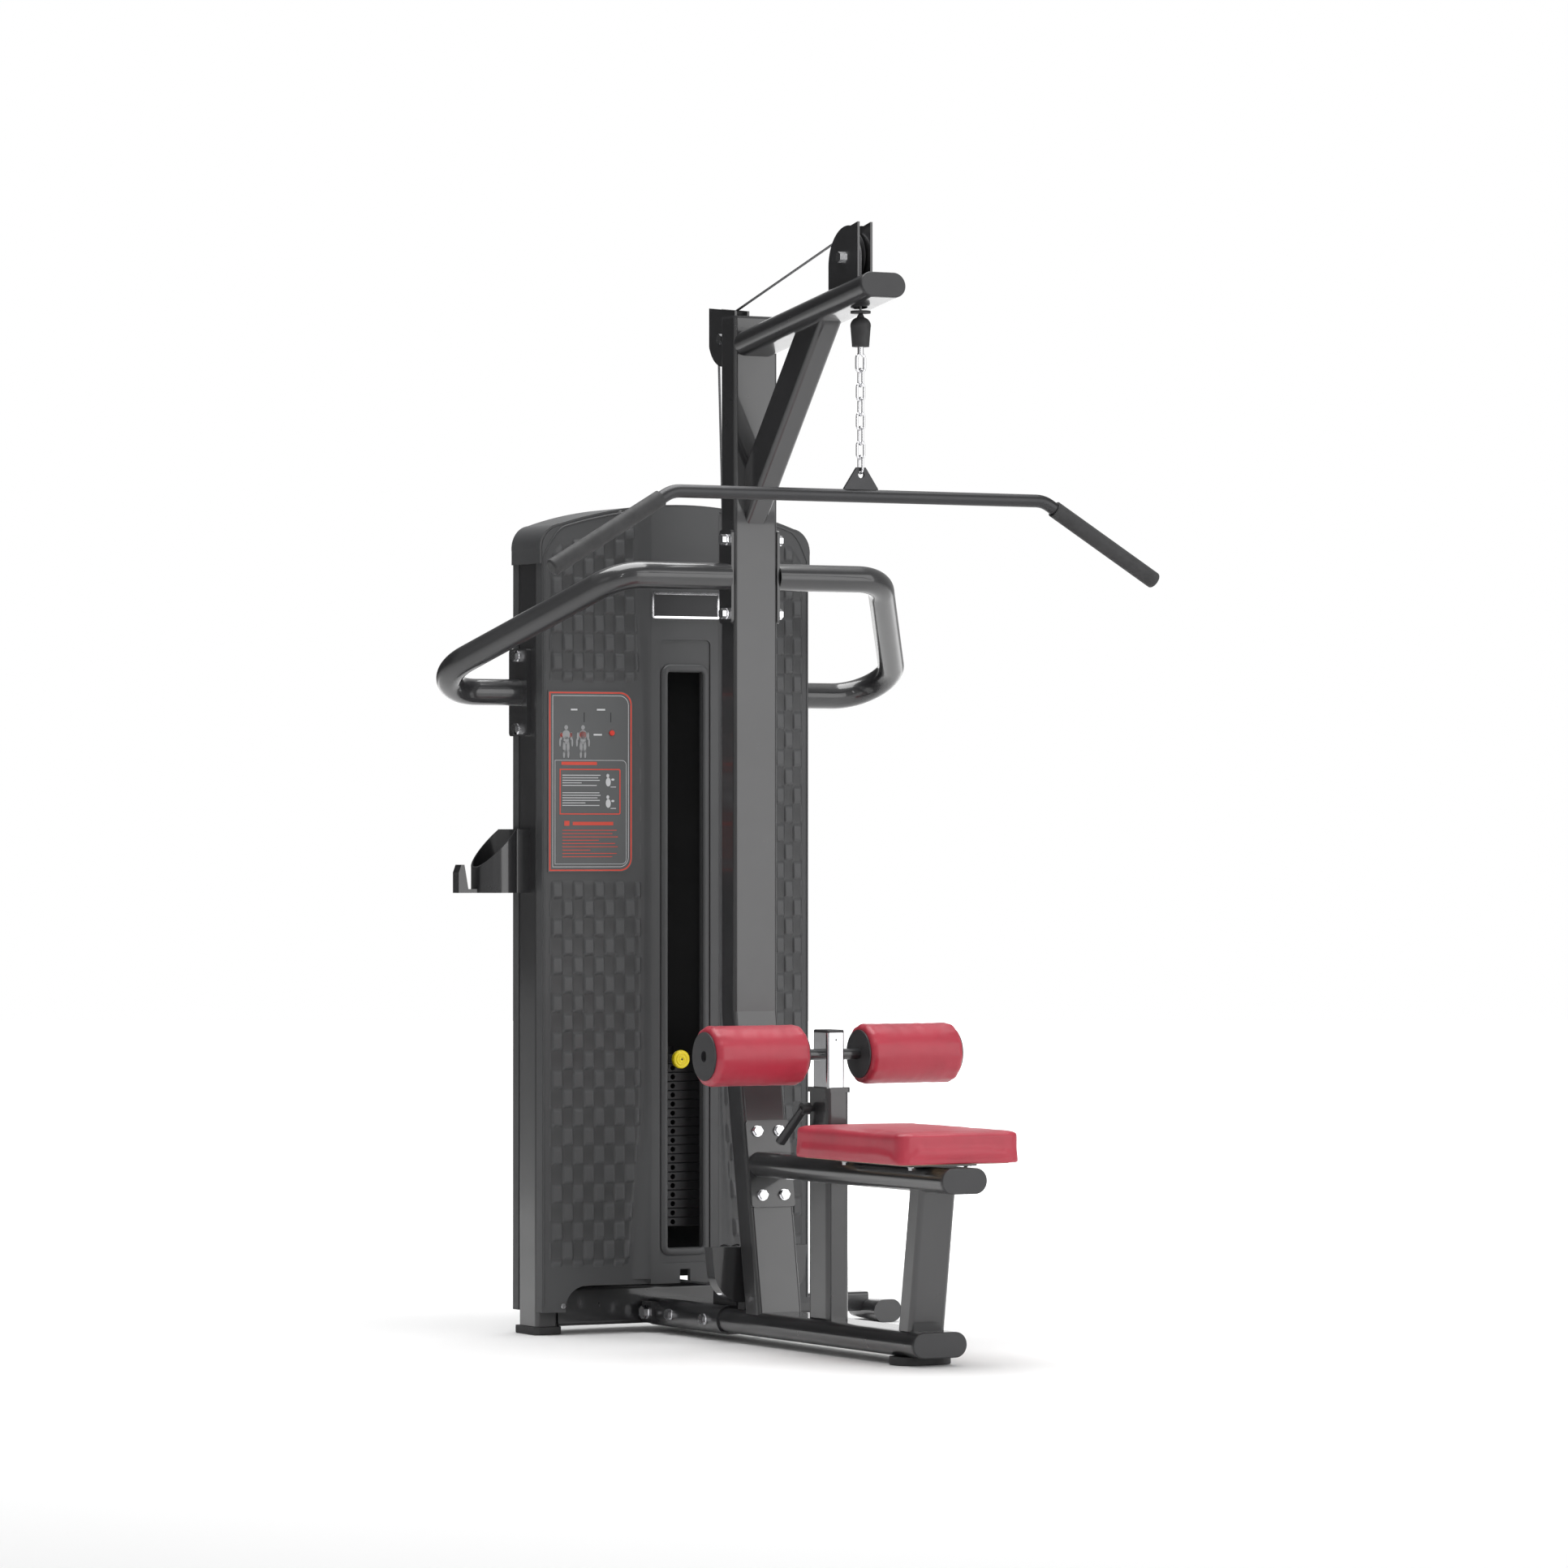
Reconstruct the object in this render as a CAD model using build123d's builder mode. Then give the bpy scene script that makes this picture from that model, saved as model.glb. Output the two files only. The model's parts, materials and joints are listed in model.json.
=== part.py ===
from build123d import *
import math
import os

# A selectorised lat pulldown machine: weight tower at +Y, seat at -Y, mid-plane at X = 0.
# The origin is the middle of the footprint at floor level, +Z is up, all sizes in millimetres.

# ---- driving dimensions ----
HALF_DEPTH = 679.0  # seat tube cap to origin, and rear shroud to origin
WALL = 3.0
FLOOR_GAP = 16.0  # thickness of the feet under the frame

BASE_OVAL = (120.0, 50.0)
BASE_Z = 41.0
BASE_FRONT_Y = -577.0
BASE_REAR_Y = 530.0
SLEEVE_FRONT_Y = 210.0
BASE_TOP = BASE_Z + BASE_OVAL[1] / 2

SEAT_OVAL = (100.0, 50.0)
SEAT_TUBE_Z = 362.0
SEAT_TUBE_FRONT_Y = -671.0
SEAT_TUBE_TOP = SEAT_TUBE_Z + SEAT_OVAL[1] / 2
CAP_DEPTH = 8.0

COLUMN = (100.0, 60.0)
COLUMN_Y = 189.0
COLUMN_FRONT_Y = COLUMN_Y - COLUMN[1] / 2
COLUMN_REAR_Y = COLUMN_Y + COLUMN[1] / 2
COLUMN_TOP = 2075.0
COLUMN_BEND_Z = 667.0
LEG_TILT = 9.73  # degrees, forward lean of the lower column

ARM_START = (159.0, 2024.0)  # Y and Z of the arm's axis at the column
ARM_TILT = 9.02
ARM_LENGTH = 522.0

POST = (50.0, 80.0)
POST_Y = -143.0
POST_TOP = 516.0
INNER_POST = (40.0, 60.0)
INNER_POST_TOP = 634.0

ROLLER_Z = 590.5
ROLLER_R = 60.0
ROLLER_INNER_X = 70.0
ROLLER_LENGTH = 209.0
ROLLER_CAP = (48.0, 3.0)  # radius and thickness
ROLLER_HUB = (23.9, 30.0)  # radius and depth inside the foam
ROD_R = 11.0

TOWER_Y = 571.0
TOWER_HALF_WIDTH = 312.0
SIDE_COLUMN = (50.0, 82.0)
SIDE_COLUMN_TOP = 1600.0
CROSS_TOP = 96.0
BEAM_Z = 1550.0
BEAM = (60.0, 50.0)
FRONT_FOOT_Y = -506.0

SHROUD_WALL = 4.0
SHROUD_EDGE = 67.0  # half depth of the tower at the shroud's edges
FRONT_BOW = 30.0
BAND_FRONT_Y = 466.0
BAND_HALF_WIDTH = 80.0
WINDOW = (80.0, 1190.0)
WINDOW_Z = 769.0

ROD_X = 130.0
GUIDE_ROD_R = 12.5
PLATE = (340.0, 100.0, 18.5)
PLATE_PITCH = 18.8
PLATE_COUNT = 18
STACK_Z = 215.0
STEM_R = 11.0
PIN_R = 5.0
PIN_CLEARANCE = 0.4

CABLE_R = 2.5
TOP_PULLEY_R = 47.0  # radius at the cable's centre
LOW_PULLEY_R = 40.0
FRONT_PULLEY = (-225.0, 2170.0)
REAR_PULLEY = (274.0, 2040.0)
LOWER_FRONT_PULLEY = (262.0, 145.0)
LOWER_REAR_PULLEY = (611.0, 145.0)
TOWER_PULLEY = (611.0, 1490.0)
AXLE_R = 6.0
RUNNING_FIT = 0.05
BRACKET_GAP = 12.0  # mid-plane to the inner face of a pulley plate
BRACKET_PLATE = 5.0

BAR_Y = FRONT_PULLEY[0] - TOP_PULLEY_R
BAR_Z = 1695.5
BAR_R = 13.0
BAR_BEND_X = 420.0
BAR_TIP = (683.0, 1540.0)
EYE_Z = 1737.5
EYE_R = 7.0
TAB_TOP = 1752.0

HANDLE_R = 27.5
HANDLE_Z = 1551.0
HANDLE_LOW_Z = 1321.0
HANDLE_FLANGE_Y = 596.0

os.makedirs("parts", exist_ok=True)


# ---- planes and small helpers ----
def facing_front(y, x=0.0, z=0.0):
    """A plane across the machine at depth y, local x along X, local y up, extruding towards -Y."""
    return Plane(origin=(x, y, z), x_dir=(1, 0, 0), z_dir=(0, -1, 0))


def facing_right(x):
    """A plane along the machine at width x, local x along Y, local y up, extruding towards +X."""
    return Plane(origin=(x, 0, 0), x_dir=(0, 1, 0), z_dir=(1, 0, 0))


def oval_ring(size, wall):
    """A flat-oval tube section."""
    with BuildSketch() as ring:
        SlotOverall(size[0], size[1])
        SlotOverall(size[0] - 2 * wall, size[1] - 2 * wall, mode=Mode.SUBTRACT)
    return ring.sketch


def box_ring(size, radius, wall):
    """A rounded rectangular tube section."""
    with BuildSketch() as ring:
        RectangleRounded(size[0], size[1], radius)
        inner = (size[0] - 2 * wall, size[1] - 2 * wall)
        RectangleRounded(inner[0], inner[1], radius - wall, mode=Mode.SUBTRACT)
    return ring.sketch


def hex_bolt(across, head, shank_r, shank):
    """A hexagon bolt with its washer face at z = 0, head upwards and shank downwards."""
    with BuildPart() as bolt:
        with BuildSketch():
            Circle(across * 0.62)
        extrude(amount=2)
        with BuildSketch(Plane.XY.offset(2)):
            RegularPolygon(across / 2, 6, major_radius=False)
        extrude(amount=head)
        with BuildSketch():
            Circle(shank_r)
        extrude(amount=-shank)
    return bolt.part


def wheel(radius):
    """A grooved cable wheel about the X axis, with the cable's centre line at the given radius."""
    rim = radius + 5
    floor = radius - CABLE_R - 0.3
    half = [
        (9, AXLE_R + RUNNING_FIT),
        (9, 14),
        (5, 17),
        (5, floor - 6),
        (8.5, floor - 1),
        (8.5, rim),
        (6.5, rim),
        (3.2, floor),
    ]
    left = [(-x, r) for x, r in reversed(half)]
    with BuildPart() as pulley:
        with BuildSketch():
            with BuildLine():
                Polyline(*half, *left, close=True)
            make_face()
        revolve(axis=Axis.X)
        with BuildSketch(Plane.YZ.offset(-20)):
            with PolarLocations((floor + 6) / 2, 6):
                Circle(5.5)
        extrude(amount=40, mode=Mode.SUBTRACT)
    return pulley.part


def plate_pair(outline, hole, hole_r=AXLE_R + RUNNING_FIT):
    """Two equal plates either side of the mid-plane, with one axle hole."""
    with BuildPart() as plates:
        for side in (BRACKET_GAP, -BRACKET_GAP - BRACKET_PLATE):
            with BuildSketch(facing_right(side)):
                add(outline)
                with Locations(hole):
                    Circle(hole_r, mode=Mode.SUBTRACT)
            extrude(amount=BRACKET_PLATE)
    return plates.part


def hung_outline(corners, centre, radius):
    """A pulley plate's outline: a polygon joined to a disc round the axle."""
    with BuildSketch() as outline:
        with BuildLine():
            Polyline(*corners, close=True)
        make_face()
        with Locations(centre):
            Circle(radius)
    return outline.sketch


def link(length, width, wire_r):
    """One oval chain link in the XZ plane, centred on the origin."""
    straight = length / 2 - width / 2
    reach = width / 2 - wire_r
    with BuildPart() as ring:
        with BuildLine() as path:
            Line((reach, 0, -straight), (reach, 0, straight))
            ThreePointArc((reach, 0, straight), (0, 0, straight + reach), (-reach, 0, straight))
            Line((-reach, 0, straight), (-reach, 0, -straight))
            ThreePointArc((-reach, 0, -straight), (0, 0, -straight - reach), (reach, 0, -straight))
        with BuildSketch(Plane(origin=(reach, 0, -straight), z_dir=(0, 0, 1))):
            Circle(wire_r)
        sweep(path=path.wires()[0])
    return ring.part


# ---- base ----
BASE_OVAL_SECTION = oval_ring(BASE_OVAL, WALL)

with BuildPart() as base_tube:
    with BuildSketch(facing_front(BASE_REAR_Y, z=BASE_Z)):
        add(BASE_OVAL_SECTION)
    extrude(amount=BASE_REAR_Y - BASE_FRONT_Y)


def oval_cap(size):
    """A moulded end cap for a flat-oval tube, its back face at z = 0."""
    with BuildPart() as cap:
        with BuildSketch():
            SlotOverall(*size)
        extrude(amount=CAP_DEPTH)
        fillet(cap.faces().sort_by(Axis.Z)[-1].edges(), 2.5)
    return cap.part


BASE_CAP = oval_cap(BASE_OVAL)
SEAT_CAP = oval_cap(SEAT_OVAL)

SLEEVE_BOLTS_Y = (262.0, 411.0)
EAR_Y = 500.0
EAR = 44.0
EAR_FACE_X = 72.0
with BuildPart() as base_sleeve:
    with BuildSketch(facing_front(BASE_REAR_Y - 0.2, z=BASE_Z)):
        SlotOverall(BASE_OVAL[0] + 8, BASE_OVAL[1] + 8)
        SlotOverall(*BASE_OVAL, mode=Mode.SUBTRACT)
    extrude(amount=BASE_REAR_Y - SLEEVE_FRONT_Y)
    with BuildSketch(facing_front(EAR_Y + EAR / 2, z=BASE_Z)):
        Rectangle(2 * EAR_FACE_X, EAR)
        SlotOverall(BASE_OVAL[0] + 4, BASE_OVAL[1] + 4, mode=Mode.SUBTRACT)
        Rectangle(2 * EAR_FACE_X - 30, EAR + 10, mode=Mode.SUBTRACT)
    extrude(amount=EAR)
    with BuildSketch(facing_right(-80)):
        with Locations(*[(y, BASE_Z) for y in SLEEVE_BOLTS_Y]):
            Circle(6.1)
        with Locations((EAR_Y, BASE_Z)):
            Circle(8.1)
    extrude(amount=160, mode=Mode.SUBTRACT)


# ---- tower frame ----
COLUMN_INNER_X = TOWER_HALF_WIDTH - SIDE_COLUMN[0]
COLUMN_CENTRE_X = TOWER_HALF_WIDTH - SIDE_COLUMN[0] / 2

COLUMN_GAP = 0.01  # welded tubes stay separate solids

with BuildPart() as tower_frame:
    with BuildSketch(facing_right(-COLUMN_INNER_X + COLUMN_GAP)):
        with Locations((TOWER_Y, (FLOOR_GAP + CROSS_TOP) / 2)):
            add(box_ring((SIDE_COLUMN[1], CROSS_TOP - FLOOR_GAP), 8, WALL))
        with Locations((TOWER_Y, BEAM_Z + BEAM[1] / 2)):
            add(box_ring(BEAM, 6, WALL))
    extrude(amount=2 * (COLUMN_INNER_X - COLUMN_GAP))
    with BuildSketch(Plane.XY.offset(FLOOR_GAP)):
        with Locations((-COLUMN_CENTRE_X, TOWER_Y), (COLUMN_CENTRE_X, TOWER_Y)):
            add(box_ring(SIDE_COLUMN, 8, WALL))
    extrude(amount=SIDE_COLUMN_TOP - FLOOR_GAP)

with BuildPart() as feet:
    with BuildSketch(Plane.XY):
        with Locations((0, FRONT_FOOT_Y)):
            RectangleRounded(122, 72, 30)
        with Locations((-COLUMN_CENTRE_X, TOWER_Y), (COLUMN_CENTRE_X, TOWER_Y)):
            RectangleRounded(62, 100, 10)
    extrude(amount=FLOOR_GAP)
    chamfer(feet.faces().filter_by(Axis.Z).group_by(Axis.Z)[0].edges(), 1.5)

OUTRIGGER_Y = TOWER_Y + 15
with BuildPart() as outrigger:
    with BuildSketch(facing_right(TOWER_HALF_WIDTH)):
        with Locations((OUTRIGGER_Y, BASE_Z)):
            RectangleRounded(40, 40, 6)
    extrude(amount=180)
    with BuildSketch(facing_front(TOWER_Y + 60, x=505, z=24)):
        SlotOverall(52, 38)
    with BuildSketch(facing_front(TOWER_Y - 66, x=505, z=24)):
        SlotOverall(66, 48)
    loft()
    with BuildSketch(Plane.XY.offset(BASE_Z + 20)):
        with Locations((430, OUTRIGGER_Y)):
            RectangleRounded(30, 34, 4)
    extrude(amount=34)


# ---- shrouds and covers ----
def outline_points(grow):
    """The tower face's outline grown outwards: half width, shoulder, crown."""
    return {
        "side": TOWER_HALF_WIDTH + grow,
        "shoulder": 1612.0,
        "corner": (303.0 + grow, 1645.0 + grow * 0.6),
        "top_corner": (272.0 + grow * 0.4, 1663.0 + grow),
        "crown": 1706.0 + grow,
    }


def shroud_outline():
    """The face of a shroud in the XZ plane, with an arch between its two feet."""
    p = outline_points(0)
    with BuildSketch() as face:
        with BuildLine():
            Line((-p["side"], 47), (-p["side"], p["shoulder"]))
            ThreePointArc(
                (-p["side"], p["shoulder"]),
                (-p["corner"][0], p["corner"][1]),
                (-p["top_corner"][0], p["top_corner"][1]),
            )
            ThreePointArc(
                (-p["top_corner"][0], p["top_corner"][1]),
                (0, p["crown"]),
                p["top_corner"],
            )
            ThreePointArc(p["top_corner"], p["corner"], (p["side"], p["shoulder"]))
            Line((p["side"], p["shoulder"]), (p["side"], 47))
            Line((p["side"], 47), (262, 47))
            Line((262, 47), (262, 60))
            ThreePointArc((262, 60), (247, 89), (214, 101))
            Line((214, 101), (-214, 101))
            ThreePointArc((-214, 101), (-247, 89), (-262, 60))
            Line((-262, 60), (-262, 47))
            Line((-262, 47), (-p["side"], 47))
        make_face()
    return face.sketch


def plan_region(half_width, edge_y, crown_y, back_y):
    """A plan area between a bowed face and a straight back line."""
    with BuildSketch() as region:
        with BuildLine():
            ThreePointArc((-half_width, edge_y), (0, crown_y), (half_width, edge_y))
            Polyline((half_width, edge_y), (half_width, back_y), (-half_width, back_y), (-half_width, edge_y))
        make_face()
    return region.sketch


FRONT_EDGE_Y = TOWER_Y - SHROUD_EDGE
REAR_EDGE_Y = TOWER_Y + SHROUD_EDGE
FRONT_BACK_Y = TOWER_Y - SIDE_COLUMN[1] / 2
REAR_BACK_Y = TOWER_Y + SIDE_COLUMN[1] / 2
FRONT_CROWN_Y = FRONT_EDGE_Y - FRONT_BOW
INNER_HALF = TOWER_HALF_WIDTH - SHROUD_WALL
BUTTON = (-164.0, 1237.0)
BUTTON_HOLE_R = 6.1
TAB_HOLES = [(-268.0, 60.0), (268.0, 60.0)]


def sagitta_y(x, edge_y, bow):
    """Depth of a bowed face at width x."""
    radius = (TOWER_HALF_WIDTH**2 + bow**2) / (2 * bow)
    return edge_y - bow + radius - math.sqrt(radius**2 - x**2)


SHROUD_FACE = shroud_outline()

with BuildPart() as front_shroud:
    with BuildSketch(Plane.XY.offset(40)):
        add(plan_region(TOWER_HALF_WIDTH, FRONT_EDGE_Y, FRONT_CROWN_Y, FRONT_BACK_Y - 0.2))
        with Locations((0, BAND_FRONT_Y + 6)):
            Rectangle(2 * BAND_HALF_WIDTH, 12)
        inner_edge = FRONT_EDGE_Y + SHROUD_WALL
        inner_crown = FRONT_CROWN_Y + SHROUD_WALL
        add(plan_region(INNER_HALF, inner_edge, inner_crown, FRONT_BACK_Y + 5), mode=Mode.SUBTRACT)
    extrude(amount=1700)
    with BuildSketch(facing_front(FRONT_BACK_Y + 10)):
        add(SHROUD_FACE)
    extrude(amount=120, mode=Mode.INTERSECT)
    with BuildSketch(facing_front(BAND_FRONT_Y + 3)):
        with Locations((0, WINDOW_Z + 18)):
            RectangleRounded(WINDOW[0] + 38, WINDOW[1] + 98, 12)
    extrude(amount=10, mode=Mode.SUBTRACT)
    with BuildSketch(facing_front(FRONT_BACK_Y)):
        with Locations((0, WINDOW_Z)):
            Rectangle(*WINDOW)
        with Locations(BUTTON):
            Circle(BUTTON_HOLE_R)
        with Locations(*TAB_HOLES):
            Circle(4)
        with Locations((0, 110)):
            Rectangle(24, 40)
    extrude(amount=120, mode=Mode.SUBTRACT)

with BuildPart() as rear_shroud:
    with BuildSketch(Plane.XY.offset(40)):
        add(plan_region(TOWER_HALF_WIDTH, REAR_EDGE_Y, HALF_DEPTH, REAR_BACK_Y + 0.2))
        inner_edge = REAR_EDGE_Y - SHROUD_WALL
        inner_crown = HALF_DEPTH - SHROUD_WALL
        add(plan_region(INNER_HALF, inner_edge, inner_crown, REAR_BACK_Y - 5), mode=Mode.SUBTRACT)
    extrude(amount=1700)
    with BuildSketch(facing_front(HALF_DEPTH + 20)):
        add(SHROUD_FACE)
    extrude(amount=120, mode=Mode.INTERSECT)
    with BuildSketch(facing_front(HALF_DEPTH + 20)):
        with Locations(*TAB_HOLES):
            Circle(4)
    extrude(amount=120, mode=Mode.SUBTRACT)


def cover_outline(grow):
    """The outline of the top cover, open downwards at the cover's lower edge."""
    p = outline_points(grow)
    low = 1585.0
    with BuildSketch() as face:
        with BuildLine():
            Line((-p["side"], low), (-p["side"], p["shoulder"]))
            ThreePointArc(
                (-p["side"], p["shoulder"]),
                (-p["corner"][0], p["corner"][1]),
                (-p["top_corner"][0], p["top_corner"][1]),
            )
            ThreePointArc(
                (-p["top_corner"][0], p["top_corner"][1]),
                (0, p["crown"]),
                p["top_corner"],
            )
            ThreePointArc(p["top_corner"], p["corner"], (p["side"], p["shoulder"]))
            Line((p["side"], p["shoulder"]), (p["side"], low))
            Line((p["side"], low), (-p["side"], low))
        make_face()
    return face.sketch


with BuildPart() as top_cover:
    with BuildSketch(facing_front(HALF_DEPTH + 20)):
        add(cover_outline(4.5))
        add(cover_outline(0.5), mode=Mode.SUBTRACT)
    extrude(amount=260)
    with BuildSketch(Plane.XY.offset(1500)):
        add(plan_region(TOWER_HALF_WIDTH + 6, FRONT_EDGE_Y + 2, FRONT_CROWN_Y + 2, TOWER_Y))
        add(plan_region(TOWER_HALF_WIDTH + 6, REAR_EDGE_Y - 2, HALF_DEPTH - 2, TOWER_Y))
    extrude(amount=300, mode=Mode.INTERSECT)


def panel_plate(x_range, z_range, corner_r, front, back, holes=()):
    """A thin plate that follows the bowed front panel, from `front` to `back` mm proud of it.

    Its two corners towards the middle of the machine are rounded, and each hole is (x, z, radius).
    """
    width = x_range[1] - x_range[0]
    height = z_range[1] - z_range[0]
    middle = ((x_range[0] + x_range[1]) / 2, (z_range[0] + z_range[1]) / 2)
    with BuildPart() as plate:
        with BuildSketch(Plane.XY.offset(z_range[0] - 5)):
            add(plan_region(TOWER_HALF_WIDTH, FRONT_EDGE_Y - front, FRONT_CROWN_Y - front, FRONT_BACK_Y))
            taken = plan_region(
                TOWER_HALF_WIDTH, FRONT_EDGE_Y - back, FRONT_CROWN_Y - back, FRONT_BACK_Y
            )
            add(taken, mode=Mode.SUBTRACT)
        extrude(amount=height + 10)
        with BuildSketch(facing_front(FRONT_BACK_Y)) as outline:
            with Locations(middle):
                Rectangle(width, height)
            fillet(outline.vertices().sort_by(Axis.X)[-2:], corner_r)
            for x, z, radius in holes:
                with Locations((x, z)):
                    Circle(radius, mode=Mode.SUBTRACT)
        extrude(amount=120, mode=Mode.INTERSECT)
    return plate


placard = panel_plate((-301, -118), (951, 1323), 28, 3, 0, [(*BUTTON, BUTTON_HOLE_R)])

with BuildPart() as reset_button:
    button_face_y = sagitta_y(BUTTON[0], FRONT_EDGE_Y, FRONT_BOW) - 6
    with BuildSketch(facing_front(button_face_y + 11, x=BUTTON[0], z=BUTTON[1])):
        Circle(5.5)
    extrude(amount=11)
    fillet(reset_button.faces().sort_by(Axis.Y)[0].edges(), 1)

SIGN = (168.0, 54.0)
SIGN_Z = 1501.5
with BuildPart() as sign:
    with BuildSketch(facing_front(BAND_FRONT_Y, z=SIGN_Z)):
        RectangleRounded(SIGN[0] - 10, SIGN[1], 5)
    extrude(amount=4)
    with BuildSketch(facing_front(BAND_FRONT_Y - 2, z=SIGN_Z)):
        RectangleRounded(SIGN[0] - 18, SIGN[1] - 8, 3)
    extrude(amount=4, mode=Mode.SUBTRACT)

# ---- column, arm and brace ----
LEG_DIRECTION = Vector(0, -math.sin(math.radians(LEG_TILT)), -math.cos(math.radians(LEG_TILT)))
LEG_NORMAL = Vector(0, -math.cos(math.radians(LEG_TILT)), math.sin(math.radians(LEG_TILT)))
COLUMN_BEND = Vector(0, COLUMN_Y, COLUMN_BEND_Z)
HANDLE_BOLTS_Z = (HANDLE_Z - 75, HANDLE_Z + 75)
HANDLE_BOLT_Y = 181.0

with BuildPart() as column:
    leg_length = (COLUMN_BEND_Z - BASE_Z) / math.cos(math.radians(LEG_TILT))
    with BuildLine() as column_path:
        Polyline((0, COLUMN_Y, COLUMN_TOP), COLUMN_BEND, COLUMN_BEND + LEG_DIRECTION * leg_length)
    with BuildSketch(Plane(origin=(0, COLUMN_Y, COLUMN_TOP), x_dir=(1, 0, 0), z_dir=(0, 0, -1))):
        add(box_ring(COLUMN, 8, WALL))
    sweep(path=column_path.wires()[0], transition=Transition.RIGHT)
    with BuildSketch(facing_front(400, z=BASE_Z)):
        SlotOverall(*BASE_OVAL)
    extrude(amount=500, mode=Mode.SUBTRACT)
    with BuildSketch(facing_right(-80)):
        with Locations(*[(HANDLE_BOLT_Y, z) for z in HANDLE_BOLTS_Z]):
            Circle(6.1)
    extrude(amount=160, mode=Mode.SUBTRACT)

ARM_DIRECTION = Vector(0, -math.cos(math.radians(ARM_TILT)), math.sin(math.radians(ARM_TILT)))


def arm_plane(distance, lift=0.0):
    """A plane across the arm, a distance along its axis, extruding towards the front."""
    up = Vector(0, math.sin(math.radians(ARM_TILT)), math.cos(math.radians(ARM_TILT)))
    origin = Vector(0, *ARM_START) + ARM_DIRECTION * distance + up * lift
    return Plane(origin=origin, x_dir=(1, 0, 0), z_dir=ARM_DIRECTION)


FRONT_OF_COLUMN = facing_front(COLUMN_FRONT_Y)

with BuildPart() as arm:
    with BuildSketch(arm_plane(-30)):
        add(oval_ring(SEAT_OVAL, WALL))
    extrude(amount=ARM_LENGTH + 30)
    split(bisect_by=FRONT_OF_COLUMN, keep=Keep.TOP)
    with BuildSketch(Plane.XY.offset(1900)):
        with Locations((0, BAR_Y)):
            Circle(14)
    extrude(amount=400, mode=Mode.SUBTRACT)

with BuildPart() as tube_caps:
    with Locations(facing_front(BASE_FRONT_Y, z=BASE_Z).location):
        add(BASE_CAP)
    with Locations(facing_front(SEAT_TUBE_FRONT_Y, z=SEAT_TUBE_Z).location):
        add(SEAT_CAP)
    with Locations(arm_plane(ARM_LENGTH).location):
        add(SEAT_CAP)
    with BuildSketch(Plane.XY.offset(COLUMN_TOP)):
        with Locations((0, COLUMN_Y)):
            RectangleRounded(*COLUMN, 8)
    extrude(amount=5)

BRACE_FOOT = (192.0, 1681.0)
BRACE_TILT = math.atan2(395, 321)
with BuildPart() as brace:
    climb = Vector(0, -math.cos(BRACE_TILT), math.sin(BRACE_TILT))
    foot = Vector(0, *BRACE_FOOT) - climb * 60
    with BuildSketch(Plane(origin=foot, x_dir=(1, 0, 0), z_dir=climb)):
        add(box_ring(POST, 10, WALL))
    extrude(amount=640)
    split(bisect_by=FRONT_OF_COLUMN, keep=Keep.TOP)
    underside = arm_plane(0, lift=-SEAT_OVAL[1] / 2)
    split(bisect_by=Plane(origin=underside.origin, z_dir=-underside.y_dir), keep=Keep.TOP)

# ---- seat frame ----
LEG_AT_SEAT = COLUMN_BEND + LEG_DIRECTION * ((COLUMN_BEND_Z - SEAT_TUBE_Z) / math.cos(math.radians(LEG_TILT)))
LEG_FACE = Plane(origin=LEG_AT_SEAT, x_dir=(1, 0, 0), z_dir=LEG_NORMAL).offset(COLUMN[1] / 2)
MOUNT_PLATE = 8.0
MOUNT_DROP = -5.0  # plate centre below the seat tube's axis
MOUNT_BOLTS = [(-25, 61), (25, 61), (-25, -69), (25, -69)]

with BuildPart() as seat_tube:
    with BuildSketch(facing_front(200, z=SEAT_TUBE_Z)):
        add(oval_ring(SEAT_OVAL, WALL))
    extrude(amount=200 - SEAT_TUBE_FRONT_Y)
    split(bisect_by=LEG_FACE.offset(MOUNT_PLATE), keep=Keep.TOP)
    with BuildSketch(Plane.XY.offset(SEAT_TUBE_Z - 40)):
        with Locations((0, POST_Y)):
            RectangleRounded(*POST, 10)
    extrude(amount=80, mode=Mode.SUBTRACT)
    with BuildSketch(LEG_FACE):
        with Locations((0, MOUNT_DROP)):
            RectangleRounded(98, 176, 6)
        with Locations(*MOUNT_BOLTS):
            Circle(6.1, mode=Mode.SUBTRACT)
    extrude(amount=MOUNT_PLATE)

FRONT_LEG = (80.0, 50.0)
FRONT_LEG_FOOT = (-511.0, 64.0)
FRONT_LEG_HEAD = (-555.0, 341.0)
with BuildPart() as front_leg:
    run = Vector(0, FRONT_LEG_HEAD[0] - FRONT_LEG_FOOT[0], FRONT_LEG_HEAD[1] - FRONT_LEG_FOOT[1]).normalized()
    start = Vector(0, *FRONT_LEG_FOOT) - run * 20
    with BuildSketch(Plane(origin=start, x_dir=(1, 0, 0), z_dir=run)):
        add(box_ring(FRONT_LEG, 10, WALL))
    extrude(amount=310)
    for level, size in ((BASE_Z, BASE_OVAL), (SEAT_TUBE_Z, SEAT_OVAL)):
        with BuildSketch(facing_front(-400, z=level)):
            SlotOverall(*size)
            with Locations((0, math.copysign(60, level - 200))):
                Rectangle(200, 120)
        extrude(amount=260, mode=Mode.SUBTRACT)

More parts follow.
